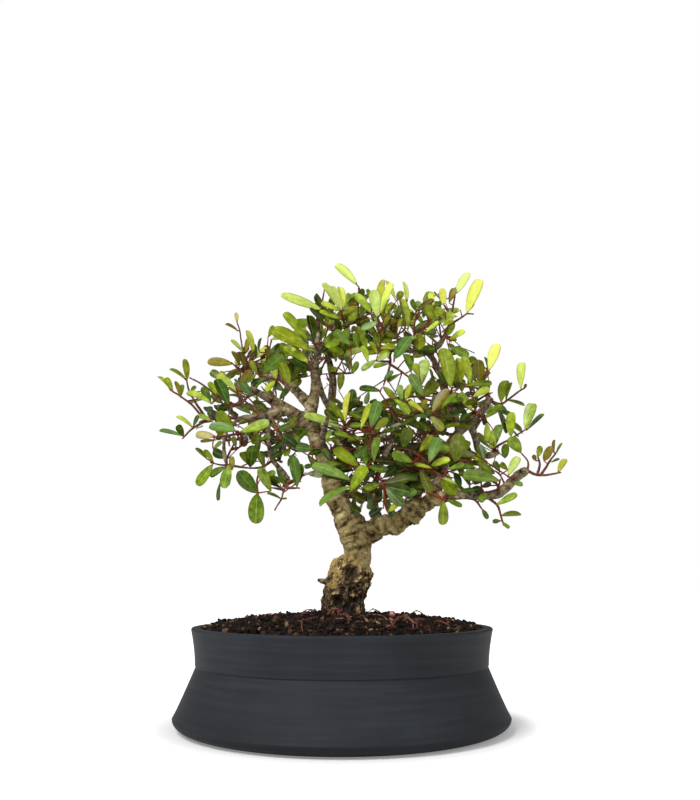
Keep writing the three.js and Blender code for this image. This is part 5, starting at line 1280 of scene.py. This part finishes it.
def grow_bow(shoot, limb, foot, way, tip):
    """A twig from foot to tip, bowed so that it clears what is placed."""
    reach = math.sqrt(((tip - foot) ** 2).sum())
    placed = balls[:ball_count]
    at_foot = np.sqrt(((placed[:, :3] - foot) ** 2).sum(axis=1)) < FOOT_ZONE
    skipped = (placed[:, 4] == shoot) | (at_foot & (placed[:, 4] == limb_names.index(limb)))
    for attempt in range(BACK_TWIG_TRIES):
        spread = (BACK_TWIG_SPREAD[0] + BACK_TWIG_SPREAD[1] * attempt) * reach
        bend = foot + way * (BACK_TWIG_BEND[0] * reach)
        bend = bend + (tip - bend) * BACK_TWIG_BEND[1]
        bend = bend + np.array([between(-spread, spread) for _ in range(3)])
        twig = (foot, bend, tip)
        seats = [on_bow(twig, (k + 1) / BACK_TWIG_STEPS) for k in range(BACK_TWIG_STEPS)]
        if is_clear(seats, [BACK_TWIG_BALL] * len(seats), None, skipped):
            return twig
    return None


def lay_out_leaf(root, along, face, length, arch, drawn):
    """A pinnate leaf: its stalk's points, and its leaflets."""
    side = np.cross(face, along)

    def stalk_at(s):
        return root + along * s - face * (arch * s * s)

    leaflets = []
    for i, (angle, fold, size, curl) in enumerate(drawn):
        pair, hand = i // 2, 1 if i % 2 == 0 else -1
        opening = angle - PAIR_CLOSING * pair
        way = unit(along * math.cos(opening) + side * (hand * math.sin(opening)) + face * fold)
        base = stalk_at(PETIOLE + pair * PAIR_SPACING + LEAFLET_BASE / 2)
        leaflets.append({
            "base": base + side * (hand * STALK_HALF_WIDTH), "way": way,
            "across": unit(np.cross(face, way)), "face": face, "size": length * size,
            "breadth": WIDTH_SHARE * length * size, "droop": curl,
        })
    return stalk_at, leaflets


def leaf_balls(stalk_at, leaflets):
    """Balls of a pinnate leaf, and which of them are near its twig."""
    end = PETIOLE + (len(leaflets) // 2 - 1) * PAIR_SPACING
    centres = [stalk_at(s) for s in (0.6 * PETIOLE, PETIOLE, end)]
    radii, near = [BLADE_THICK] * 3, [True] * 3
    for leaflet in leaflets:
        for i, (share, width) in enumerate(BACK_BALLS):
            centres.append(on_leaflet(leaflet, share, 0))
            radii.append(width * leaflet["breadth"])
            near.append(i == 0)
    return centres, radii, near


def grow_leaf(twig, number, share, turn, length):
    """A pinnate leaf at a share of a twig, turned until it is clear of all that is placed."""
    root = on_bow(twig, share)
    ahead = min(1, share + 0.1)
    tangent = unit(on_bow(twig, ahead) - on_bow(twig, ahead - 0.2))
    outward = unit(root - CROWN_HEART)
    steep = abs(tangent[2]) >= 0.9
    sideways = unit(np.cross(tangent, (1, 0, 0) if steep else UP))
    third = np.cross(tangent, sideways)
    placed = balls[:ball_count]
    on_root = np.sqrt(((placed[:, :3] - root) ** 2).sum(axis=1)) < STALK_ZONE
    skipped = on_root & (placed[:, 5] == number)
    for attempt in range(LEAF_TRIES):
        azimuth = turn + between(-0.5, 0.5) * (1 + 0.3 * attempt)
        leaning = between(0.05, 0.45) if share == 1 else between(0.6, 1.05)
        along = unit(
            tangent * math.cos(leaning) + sideways * (math.sin(leaning) * math.cos(azimuth))
            + third * (math.sin(leaning) * math.sin(azimuth)) + UP * 0.25
        )
        look = outward * 0.35 + UP * 0.45 + FRONT * (0.55 if root[1] < BACK_STARTS else -0.55)
        look = look + np.array([between(-most, most) for most in (0.6, 0.5, 0.4)])
        face = unit(look - along * (look @ along))
        chance = draw() - ONE_PAIR
        pairs = 1 if chance < 0 else 2 if chance < TWO_PAIRS else 3
        arch = between(0.002, 0.012)
        drawn = [
            (between(0.62, 0.95), between(0.02, 0.3), between(0.85, 1.12), between(-0.06, 0.16))
            for _ in range(2 * pairs)
        ]
        stalk_at, leaflets = lay_out_leaf(root, along, face, length, arch, drawn)
        own = leaf_balls(stalk_at, leaflets)
        if is_clear(*own, skipped):
            place_balls(own[0], own[1], NO_OWNER)
            return stalk_at, leaflets
    return None


twig_number = 0
back_twigs = []
for number, (limb, share, *tips) in enumerate(BACK_SHOOTS):
    owner = 2 * FIRST_SHOOT + number
    shoot = {"owner": owner, "twigs": [], "leaflets": [], "lines": [], "rods": []}
    foot = on_limb(limb, share)
    way = unit(np.mean([tip[:3] for tip in tips], axis=0) - foot)
    for x, y, z, leaves, length in tips:
        among = np.array((x, y, z), float)
        back = foot - among
        tip = among + back * (TIP_SHORTFALL / np.linalg.norm(back))
        twig = grow_bow(shoot["owner"], limb, foot, way, tip)
        if twig:
            line = [on_bow(twig, k / BACK_TWIG_STEPS) for k in range(BACK_TWIG_STEPS + 1)]
            shoot["twigs"].append(twig)
            shoot["lines"].append(line)
            back_twigs.append((shoot, twig, twig_number, leaves, length))
            place_balls(line, [BACK_TWIG_BALL] * len(line), shoot["owner"], twig_number)
            foot = on_bow(shoot["twigs"][0], FORK_SHARE)
            twig_number += 1
    shoots.append(shoot)
for shoot, twig, number, leaves, length in back_twigs:
    turn = between(0, math.tau)
    for k in range(leaves):
        leaf = grow_leaf(twig, number, 1 - LEAFY_SHARE * k / leaves, turn + k * GOLDEN_TURN, length)
        if leaf:
            stalk_at, leaflets = leaf
            reach = PETIOLE + (len(leaflets) // 2 - 1) * PAIR_SPACING + LEAFLET_BASE
            shoot["rods"].append([stalk_at(reach * k / 5) for k in range(6)])
            for leaflet in leaflets:
                shoot["leaflets"].append({**leaflet, "root": None, "tone": BACK_TONE})
for shoot in shoots:
    shoot.setdefault("rods", [])
# Inner leaves. Behind the leaflets of the front, and at the back and the sides, pinnate leaves fill
# the crown. They grow from the same twigs, where the crown is seen full. Those deep in the crown
# get dark tones, which paint the shade there.

FULL_PLACES = [  # across and down in the view, leaflets wanted, darkest and lightest tone, low deep in the crown as painted shade, and tone kind
    (236, 349, 292, 392, 22, 0.1, 0.4, 200), (275, 323, 314, 379, 16, 0.15, 0.5, 0),
    (322, 315, 348, 379, 20, 0.2, 0.5, 0), (340, 293, 408, 349, 60, 0.3, 0.65, 0),
    (408, 297, 452, 358, 30, 0.3, 0.7, 0), (434, 349, 486, 422, 60, 0.2, 0.5, 0),
    (383, 384, 452, 431, 60, 0.15, 0.5, 0), (331, 392, 383, 440, 44, 0.1, 0.4, 0),
    (346, 482, 402, 516, 24, 0.05, 0.3, 0), (335, 440, 434, 504, 130, 0.05, 0.35, 0),
    (426, 435, 495, 491, 60, 0.15, 0.5, 0),
    (215, 414, 280, 457, 30, 0.1, 0.4, 0), (279, 414, 322, 444, 24, 0.1, 0.4, 0),
    (253, 440, 297, 491, 16, 0.1, 0.4, 0), (190, 375, 232, 430, 16, 0.1, 0.4, 0),
]
VEIL = (300, 416, 348, 472, 26, 0.15, 0.5, 0)  # leaves before the trunk
VEIL_DEPTHS = (-26, -9)  # along Y, where those leaves' tips are aimed
BARE_PLACE = (345, 372, 400, 395)  # of the view, where the crown is open
FILL_PAIRS = (2, 2, 3, 3, 4)
FILL_LENGTHS = (11, 15.5)
VEIL_LENGTHS = (11, 15)
BACK_LENGTHS = (12, 16)
BACK_SHADES = (0.3, 0.75)
NEAR_PLACE, NEAR_VEIL = 16, 30  # how far outside a place its leaves' twigs may be
FILL_TRIES = 600
FILL_DEPTHS = (3, 26)  # behind the twig, where the leaves' tips are aimed
FILL_GAP = 0.1
FILL_BALL = 0.75  # share of a ball on a front leaflet
BACK_LEAFLETS = 184
BACK_LEAF_TRIES = 1500

fill = random.Random(23)
seats = []  # point, way of the twig, shoot, spot of the view
for shoot in shoots:
    for line in shoot["lines"]:
        for i in range(1, len(line)):
            seats.append((line[i], unit(line[i] - line[i - 1]), shoot, in_view(line[i])))


def inside(spot, place, margin):
    """Whether a spot of the view is inside a place, or within a margin of it."""
    return (
        place[0] - margin < spot[0] < place[2] + margin
        and place[1] - margin < spot[1] < place[3] + margin
    )


def try_leaf(seat, along, look, wanted, margin, length, shade_range, kind):
    """Grows the leaflets of a pinnate leaf that are clear and inside one of the wanted places."""
    point, _, shoot, _ = seat
    face = unit(look - along * (look @ along))
    pairs = fill.choice(FILL_PAIRS)
    drawn = [
        [fill.uniform(*ends) for ends in ((0.7, 1.1), (0, 0.35), (0.75, 1.1), (-0.05, 0.16))]
        for _ in range(2 * pairs)
    ]
    stalk_at, leaflets = lay_out_leaf(point, along, face, length, fill.uniform(0, 0.012), drawn)
    grown, furthest = 0, 0
    skipped = balls[:ball_count, 4] == shoot["owner"]
    for i, leaflet in enumerate(leaflets):
        tip, middle = in_view(on_leaflet(leaflet, 1, 0)), in_view(on_leaflet(leaflet, 0.5, 0))
        if inside(tip, BARE_PLACE, 2) or inside(middle, BARE_PLACE, 2):
            continue
        if not any(
            inside(tip, place, margin) and inside(middle, place, margin) for place in wanted
        ):
            continue
        centres, radii, near = leaflet_balls(leaflet, leaflet["base"])
        radii = [FILL_BALL * radius for radius in radii]
        if not is_clear(centres, radii, near, skipped, FILL_GAP):
            continue
        place_balls(centres, radii, NO_OWNER)
        skipped = np.append(skipped, np.zeros(len(centres), bool))
        shade_of = fill.uniform(*shade_range)
        shoot["leaflets"].append({**leaflet, "root": None, "tone": kind + 99 * shade_of})
        grown += 1
        furthest = max(furthest, PETIOLE + (i // 2) * PAIR_SPACING + LEAFLET_BASE)
    if grown:
        shoot["rods"].append([stalk_at(furthest * k / 6) for k in range(7)])
    return grown


for place in FULL_PLACES:
    near_seats = [seat for seat in seats if inside(seat[3], place, NEAR_PLACE)]
    grown = 0
    for _ in range(FILL_TRIES):
        if grown >= place[4] or not near_seats:
            break
        seat = fill.choice(near_seats)
        goal = from_view(
            fill.uniform(place[0], place[2]), fill.uniform(place[1], place[3]),
            seat[0][1] + fill.uniform(*FILL_DEPTHS),
        )
        along = unit(goal - seat[0])
        look = FRONT * 0.8 + UP * 0.6 + np.array([fill.uniform(-0.6, 0.6) for _ in range(3)])
        grown += try_leaf(
            seat, along, look, [place], 5, fill.uniform(*FILL_LENGTHS), place[5:7], place[7]
        )
grown = 0
for _ in range(FILL_TRIES):
    if grown >= VEIL[4]:
        break
    seat = fill.choice([seat for seat in seats if inside(seat[3], VEIL, NEAR_VEIL)])
    goal = from_view(
        fill.uniform(VEIL[0], VEIL[2]), fill.uniform(VEIL[1], VEIL[3]), fill.uniform(*VEIL_DEPTHS)
    )
    look = FRONT * 0.9 + UP * 0.6 + np.array([fill.uniform(-0.5, 0.5) for _ in range(3)])
    grown += try_leaf(
        seat, unit(goal - seat[0]), look, [VEIL], 4, fill.uniform(*VEIL_LENGTHS), VEIL[5:7], VEIL[7]
    )
grown = 0
back_seats = [seat for seat in seats if seat[0][1] > 2]
for _ in range(BACK_LEAF_TRIES):
    if grown >= BACK_LEAFLETS:
        break
    seat = fill.choice(back_seats)
    along = unit(
        seat[1] * 0.4 + unit(seat[0] - CROWN_HEART) * 0.6
        + np.array([fill.uniform(-0.8, 0.8), fill.uniform(-0.3, 0.9), fill.uniform(-0.5, 0.7)])
    )
    look = UP * 0.6 - FRONT * 0.7 + np.array([fill.uniform(-0.6, 0.6) for _ in range(3)])
    length = fill.uniform(*BACK_LENGTHS)
    grown += try_leaf(seat, along, look, FULL_PLACES, 4, length, BACK_SHADES, 0)

# Spurs. Bare little side twigs, left where leaves dropped, stand on the old limbs inside the crown.

SPURS = 130
SPUR_REACH = (9, 26)
SPUR_RADII = (0.85, 0.4)
SIDE_SPUR_RADII = (0.5, 0.3)
THICKEST_BUDDING, LOWEST_BUDDING = 6.2, 138  # radius of the limbs that carry them, and height
SPUR_KINK = 0.12  # share of the spur's length

spur_lines = []
budding = spots[(spots[:, 3] < THICKEST_BUDDING) & (spots[:, 2] > LOWEST_BUDDING)]
while len(spur_lines) < SPURS:
    row = budding[fill.randrange(len(budding))]
    foot, way = row[:3], row[4:7]
    goal = unit(way * 0.3 + UP * 0.5 + np.array([fill.uniform(-1, 1) for _ in range(3)]))
    reach = fill.uniform(*SPUR_REACH)
    tip = foot + goal * reach + UP * 0.15 * reach
    if inside(in_view(tip), BARE_PLACE, 6) or not any(
        inside(in_view(tip), place, 3) for place in FULL_PLACES
    ):
        continue
    kink = np.array([fill.uniform(-SPUR_KINK, SPUR_KINK) * reach for _ in range(3)])
    kink = (foot + tip) / 2 + kink
    line = smooth_line([foot, kink, tip], 2)
    spur_lines.append((line, np.linspace(*SPUR_RADII, len(line)), 0))
    fork = line[len(line) // 2]
    side = fork + unit(goal + np.array([fill.uniform(-1, 1) for _ in range(3)])) * reach * 0.4
    spur_lines.append(([fork, side], SIDE_SPUR_RADII, 0))
bm = bmesh.new()
bm.from_mesh(tubes("spurs", spur_lines, 0))
shade(bm, 60)
bare_spurs = piece("bare_spurs", bm)
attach(bare_spurs, "root")

# The leaflets and twigs themselves. A leaflet is leathery and thin, widest past its middle, folded
# a little on its pale midrib. Stalks and young twigs are dark red to brown.

LEAFLET_THICK = 0.35
LEAFLET_ROWS = (0, 0.05, 0.17, 0.34, 0.52, 0.7, 0.84, 0.93, 0.98, 1)
LEAFLET_RISE = (0.6, 0.9)  # powers of the outline's two ends
LEAFLET_FALL = (0.3, 0.44)
LEAFLET_FOLD = (0.06, 0.5, 1.7)  # least, spread, and a power that keeps most of them flat
LEAFLET_SWAY = 0.06
LEAFLET_TIP = 0.06  # least half width
CAST = (-0.45, 0.7)  # of a leaflet's green, from bronze to bluish
FULL_CAST = 0.9
FULL_TONE = 99
TWIG_RADII = (1.05, 0.55)
TWIG_WAVES = (0.35, 7)  # how far a twig wanders, and over what length
STALK_RADII = (0.5, 0.38)
STALK_INTO_BLADE = 1.5
STALK_BOW = 0.18
ROD_RADII = (0.5, 0.34)  # of a pinnate leaf's stalk
BUD = (1.05, (0.6, 0.6, 1.3, 1))  # radius and stretch
shapes = random.Random(5)


def add_leaflet(bm, leaflet, spot_layer, tone_and_painted_light_layer):
    """A leaflet's blade, as a thin sheet of quads bent into shape."""
    rise, fall = shapes.uniform(*LEAFLET_RISE), shapes.uniform(*LEAFLET_FALL)
    least, spread, power = LEAFLET_FOLD
    fold = least + spread * shapes.random() ** power
    sway = shapes.uniform(-LEAFLET_SWAY, LEAFLET_SWAY)
    peak = (rise / (rise + fall)) ** rise * (fall / (rise + fall)) ** fall
    # the tone's level is partly painted shade and light; kind 1 takes the full bluish cast, a
    # painted sky reflection, and kind 2 the full bronze
    kind, shade_of = divmod(leaflet["tone"], 100)
    cast = shapes.uniform(*CAST)
    tone = (
        shade_of / FULL_TONE, FULL_CAST if kind == 1 else max(0, cast),
        FULL_CAST if kind == 2 else max(0, -cast),
    )
    last = len(LEAFLET_ROWS) - 1
    grid = bmesh.ops.create_grid(bm, x_segments=2, y_segments=last, size=1)
    for vert in grid["verts"]:
        across, row = round(vert.co.x), round((vert.co.y + 1) / 2 * last)
        share = LEAFLET_ROWS[row]
        half = max(LEAFLET_TIP, share**rise * (1 - share) ** fall / peak) * leaflet["breadth"] / 2
        point = on_leaflet(leaflet, share, across * half + sway * leaflet["size"] * share * share)
        point = point + leaflet["face"] * (fold * abs(across) * half)
        vert.co = Vector(point) * MM
        vert[spot_layer] = (across, share, 0)
        vert[tone_and_painted_light_layer] = tone


def whole_shoot(name, shoot):
    """The mesh of a shoot: blades, stalks and twigs."""
    bm = bmesh.new()
    spot_layer = bm.verts.layers.float_vector.new("leaf_spot")
    tone_and_painted_light_layer = bm.verts.layers.float_vector.new("leaf_tone_and_painted_light")
    rods = []
    for leaflet in shoot["leaflets"]:
        add_leaflet(bm, leaflet, spot_layer, tone_and_painted_light_layer)
        if leaflet["root"] is not None:
            a, b = leaflet["root"], leaflet["base"]
            ahead = b + leaflet["way"] * STALK_INTO_BLADE
            bow = np.linalg.norm(b - a) * STALK_BOW
            middle = (a + b) / 2 - leaflet["way"] * bow * 0.4 + UP * bow * 0.4
            points = smooth_line([a, middle, b, ahead], 2)
            rods.append((points, np.linspace(*STALK_RADII, len(points)), 1))
    for points in shoot["rods"]:
        rods.append((points, np.linspace(*ROD_RADII, len(points)), 1))
    blades = piece("blades", bm)
    shell = blades.modifiers.new("thickness", "SOLIDIFY")
    shell.thickness = LEAFLET_THICK * MM
    shell.offset = 0
    settle(blades)
    for line in shoot["twigs"] if shoot["owner"] < 2 * FIRST_SHOOT else shoot["lines"]:
        far, size = TWIG_WAVES
        points = smooth_line(line, 2)
        points = [p + far * np.array(noise.noise_vector(Vector(p) / size)) for p in points]
        rods.append((points, np.linspace(*TWIG_RADII, len(points)), 2))
    bm = bmesh.new()
    bm.from_mesh(blades.data)
    bpy.data.objects.remove(blades)
    bm.from_mesh(tubes(name, rods, 0))
    for line in shoot["lines"]:
        way = Vector(unit(line[-1] - line[-2]))
        bud = Matrix.Translation(Vector(line[-1]) * MM + way * MM)
        bud = bud @ way.to_track_quat("Z", "Y").to_matrix().to_4x4() @ Matrix.Diagonal(BUD[1])
        tip = bmesh.ops.create_icosphere(bm, subdivisions=1, radius=BUD[0] * MM, matrix=bud)
        for face in {face for vert in tip["verts"] for face in vert.link_faces}:
            face.material_index = 1
    shade(bm, 42)
    return bm


# Mastic leaf: leathery, from deep to yellow green, bluish or bronze on some, with a brown rim, a
# paler midrib and ten side veins to each half, 1.4 mm apart on a leaflet of 14 mm. The real ones
# are closer and finer. It shines softly, and light comes through it. How dark or bright a leaflet
# is comes partly from painted shade and light, the full bluish cast is a painted sky reflection,
# and the brown rim is partly painted shade along the edge.
LEAF_PATCH = 4 * MM
VEIN_LEAN = -0.16  # share of the length that a side vein runs forward on its way to the rim
VEIN_TURNS = 62  # of a wave that has a crest at each vein, in radians
MIDRIB = 0.1  # share of the half width

leaf, tree, shader, place = material("leathery_mastic_leaf", 0.32, 0.23)
layers = []
for name in ("leaf_spot", "leaf_tone_and_painted_light"):
    layer = add(tree, "Attribute", attribute_name=name).outputs["Vector"]
    layers += add(tree, "SeparateXYZ", [("Vector", layer)]).outputs
# light is each leaflet's tone level: partly its own green, partly painted shade deep in the crown
# and painted light on backlit leaflets
across, along, _, light, bluish_and_painted_sheen, bronzed = layers
patches = add(tree, "TexNoise", [("Vector", place), ("Scale", 1 / LEAF_PATCH), ("Detail", 7)])
level = add(tree, "Math", [(0, patches), (1, 0.6), (2, -0.3)], operation="MULTIPLY_ADD")
level = add(tree, "Math", [(0, level), (1, light)], operation="ADD")
green = add(
    tree, "ValToRGB", [("Fac", level)],
    [(0, "#151F00"), (1, "#DCE67A"), (0.25, "#3C5000"), (0.5, "#7C920E"), (0.75, "#C0D03A")],
)
# the bluish cast is partly a random tint and partly a painted sky reflection, full on leaflets of
# kind 1
bluish_green_and_painted_sheen = add(
    tree, "ValToRGB", [("Fac", level)], [(0.1, "#1A3804"), (0.9, "#AFC484"), (0.5, "#567C30")]
)
bronze = add(
    tree, "ValToRGB", [("Fac", level)], [(0.1, "#362C00"), (0.9, "#C2B048"), (0.5, "#7D6C12")]
)
off = add(tree, "Math", [(0, across)], operation="ABSOLUTE")
# the brown rim is partly the margin's own colour and partly painted shade along the edge
rim_and_edge_shade = add(tree, "MapRange", [("Value", off), ("From Min", 0.7), ("To Max", 0.4)])
rib = add(tree, "ValToRGB", [("Fac", off)], [(MIDRIB / 5, "#FFFFFF"), (MIDRIB, "#000000")])
wave = add(tree, "Math", [(0, off), (1, VEIN_LEAN), (2, along)], operation="MULTIPLY_ADD")
wave = add(tree, "Math", [(0, wave), (1, VEIN_TURNS)], operation="MULTIPLY")
wave = add(tree, "Math", [(0, wave)], operation="SINE")
vein = add(tree, "ValToRGB", [("Fac", wave)], [(0.8, "#000000"), (1, "#3A3A3A")])
pale = add(tree, "Math", [(0, rib), (1, vein)], operation="MAXIMUM")
pale = add(tree, "Math", [(0, pale), (1, 0.3)], operation="MULTIPLY")
tint = green
for share, colour in (
    (bluish_and_painted_sheen, bluish_green_and_painted_sheen), (bronzed, bronze), (rim_and_edge_shade, linear("#4A3A12")), (pale, linear("#B9C772"))
):
    tint = add(tree, "Mix", [(0, share), (6, tint), (7, colour)], data_type="RGBA")
bump = add(tree, "Bump", [("Height", pale), ("Strength", 0.35), ("Distance", 0.3 * MM)])
join(shader, [("Base Color", tint), ("Normal", bump)])
through = add(tree, "BsdfTranslucent", [("Color", tint)])
lit = add(tree, "MixShader", [(0, 0.34), (1, shader), (2, through)])
join(tree.get_output_node("ALL"), [("Surface", lit)])

# Leaf stalks: smooth and soft, wine red, turning green in places.
STALK_PATCH = 11 * MM

stalk, tree, shader, place = material("young_red_leaf_stalk", 0.5, 0.2)
turning = add(tree, "TexNoise", [("Vector", place), ("Scale", 1 / STALK_PATCH), ("Detail", 2)])
red = add(
    tree, "ValToRGB", [("Fac", turning)], [(0.35, "#501510"), (0.8, "#7E5C2C"), (0.6, "#722519")]
)
join(shader, [("Base Color", red)])

# Young twigs: thin bark, grey brown with a red cast, with small pale pores. The real pores are half
# a millimetre, and are drawn 1.25 mm wide to show.
PORE = 1.25 * MM

twig_bark, tree, shader, place = material("young_twig_bark", 0.7, 0.15)
pores = add(tree, "TexNoise", [("Vector", place), ("Scale", 1 / PORE), ("Detail", 3)])
brown = add(
    tree, "ValToRGB", [("Fac", pores)], [(0.3, "#321A10"), (0.75, "#7A5C46"), (0.5, "#543022")]
)
bump = add(tree, "Bump", [("Height", pores), ("Strength", 0.4), ("Distance", 0.2 * MM)])
join(shader, [("Base Color", brown), ("Normal", bump)])

bare_spurs.data.materials.append(twig_bark)
for number, shoot in enumerate(shoots, 1):
    name = f"leafy_twigs_{number:02d}"
    foliage = piece(name, whole_shoot(name, shoot), leaf, stalk, twig_bark)
    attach(foliage, "root")
    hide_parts(f"leafy_shoot_{number:02d}")

# Stage. A wide flat sheet of white paper, as in a photographer's studio, with a wide soft light
# from the upper left, a weak one from the right and an even white surround.

FLOOR_HALF = 6000
LENS = 36.73
SENSOR = 36
NEAREST_SEEN = 10
SKY = 0.52
PAPER_GLOW_AND_PAINTED_SHADOW = (0.22, 0.95)  # near the pot, dimmed to paint its shadow, and further out
PAINTED_SHADOW_RADII = (105, 142)  # radius where the painted shadow starts to lift and where the glow is full
LAMPS = (("key", (-420, -620, 720), 420, 13), ("fill", (620, -480, 420), 500, 2))  # size, power
LAMP_AIM = (0, 0, 130)

bm = bmesh.new()
bmesh.ops.create_grid(bm, x_segments=1, y_segments=1, size=FLOOR_HALF * MM)
floor = piece("floor", bm)

# Matt paper: even white, with fibres drawn 3.3 mm wide, as finer ones wouldn't show. It glows
# evenly, but close round the pot the glow is dimmed, which paints the pot's shadow on the paper.
PAPER_FIBRE = 3.3 * MM

white, tree, shader, place = material("matt_white_paper_with_painted_shadow", 1, 0)
fibres = add(tree, "TexNoise", [("Vector", place), ("Scale", 1 / PAPER_FIBRE)])
paper = add(tree, "ValToRGB", [("Fac", fibres)], [(0.3, "#BABABA"), (0.7, "#BEBEBE")])
far = add(tree, "VectorMath", [(0, place)], operation="LENGTH")
# the glow is dimmed close round the pot, which paints the pot's shadow on the paper
glow_with_painted_shadow = add(tree, "MapRange", [
    ("Value", far), ("From Min", PAINTED_SHADOW_RADII[0] * MM), ("From Max", PAINTED_SHADOW_RADII[1] * MM),
    ("To Min", PAPER_GLOW_AND_PAINTED_SHADOW[0]), ("To Max", PAPER_GLOW_AND_PAINTED_SHADOW[1]),
], interpolation_type="SMOOTHSTEP")
join(shader, [
    ("Base Color", paper), ("Emission Color", (1, 1, 1, 1)), ("Emission Strength", glow_with_painted_shadow)
])
floor.data.materials.append(white)

world = bpy.data.worlds.new("white_surround")
world.use_nodes = True
tree = world.node_tree
tree.nodes.clear()
soft, backdrop = (
    add(tree, "Background", [("Color", (1, 1, 1, 1)), ("Strength", power)]) for power in (SKY, 1)
)
seen = add(tree, "LightPath").outputs["Is Camera Ray"]
both = add(tree, "MixShader", [(0, seen), (1, soft), (2, backdrop)])
add(tree, "OutputWorld", [("Surface", both)])
bpy.context.scene.world = world

for name, spot, size, power in LAMPS:
    light = bpy.data.lights.new(name, "AREA")
    light.size = size * MM
    light.energy = power
    lamp = bpy.data.objects.new(name, light)
    lamp.location = Vector(spot) * MM
    lamp.rotation_euler = (Vector(LAMP_AIM) - Vector(spot)).to_track_quat("-Z", "Y").to_euler()
    bpy.context.scene.collection.objects.link(lamp)

view = bpy.data.cameras.new("camera")
view.lens = LENS
view.sensor_width = SENSOR
view.clip_start = NEAREST_SEEN * MM
camera = bpy.data.objects.new("camera", view)
camera.location = Vector(EYE) * MM
camera.rotation_euler = (math.pi / 2 + EYE_TILT, 0, 0)
bpy.context.scene.collection.objects.link(camera)
bpy.context.scene.camera = camera
bpy.context.scene.view_settings.view_transform = "Standard"
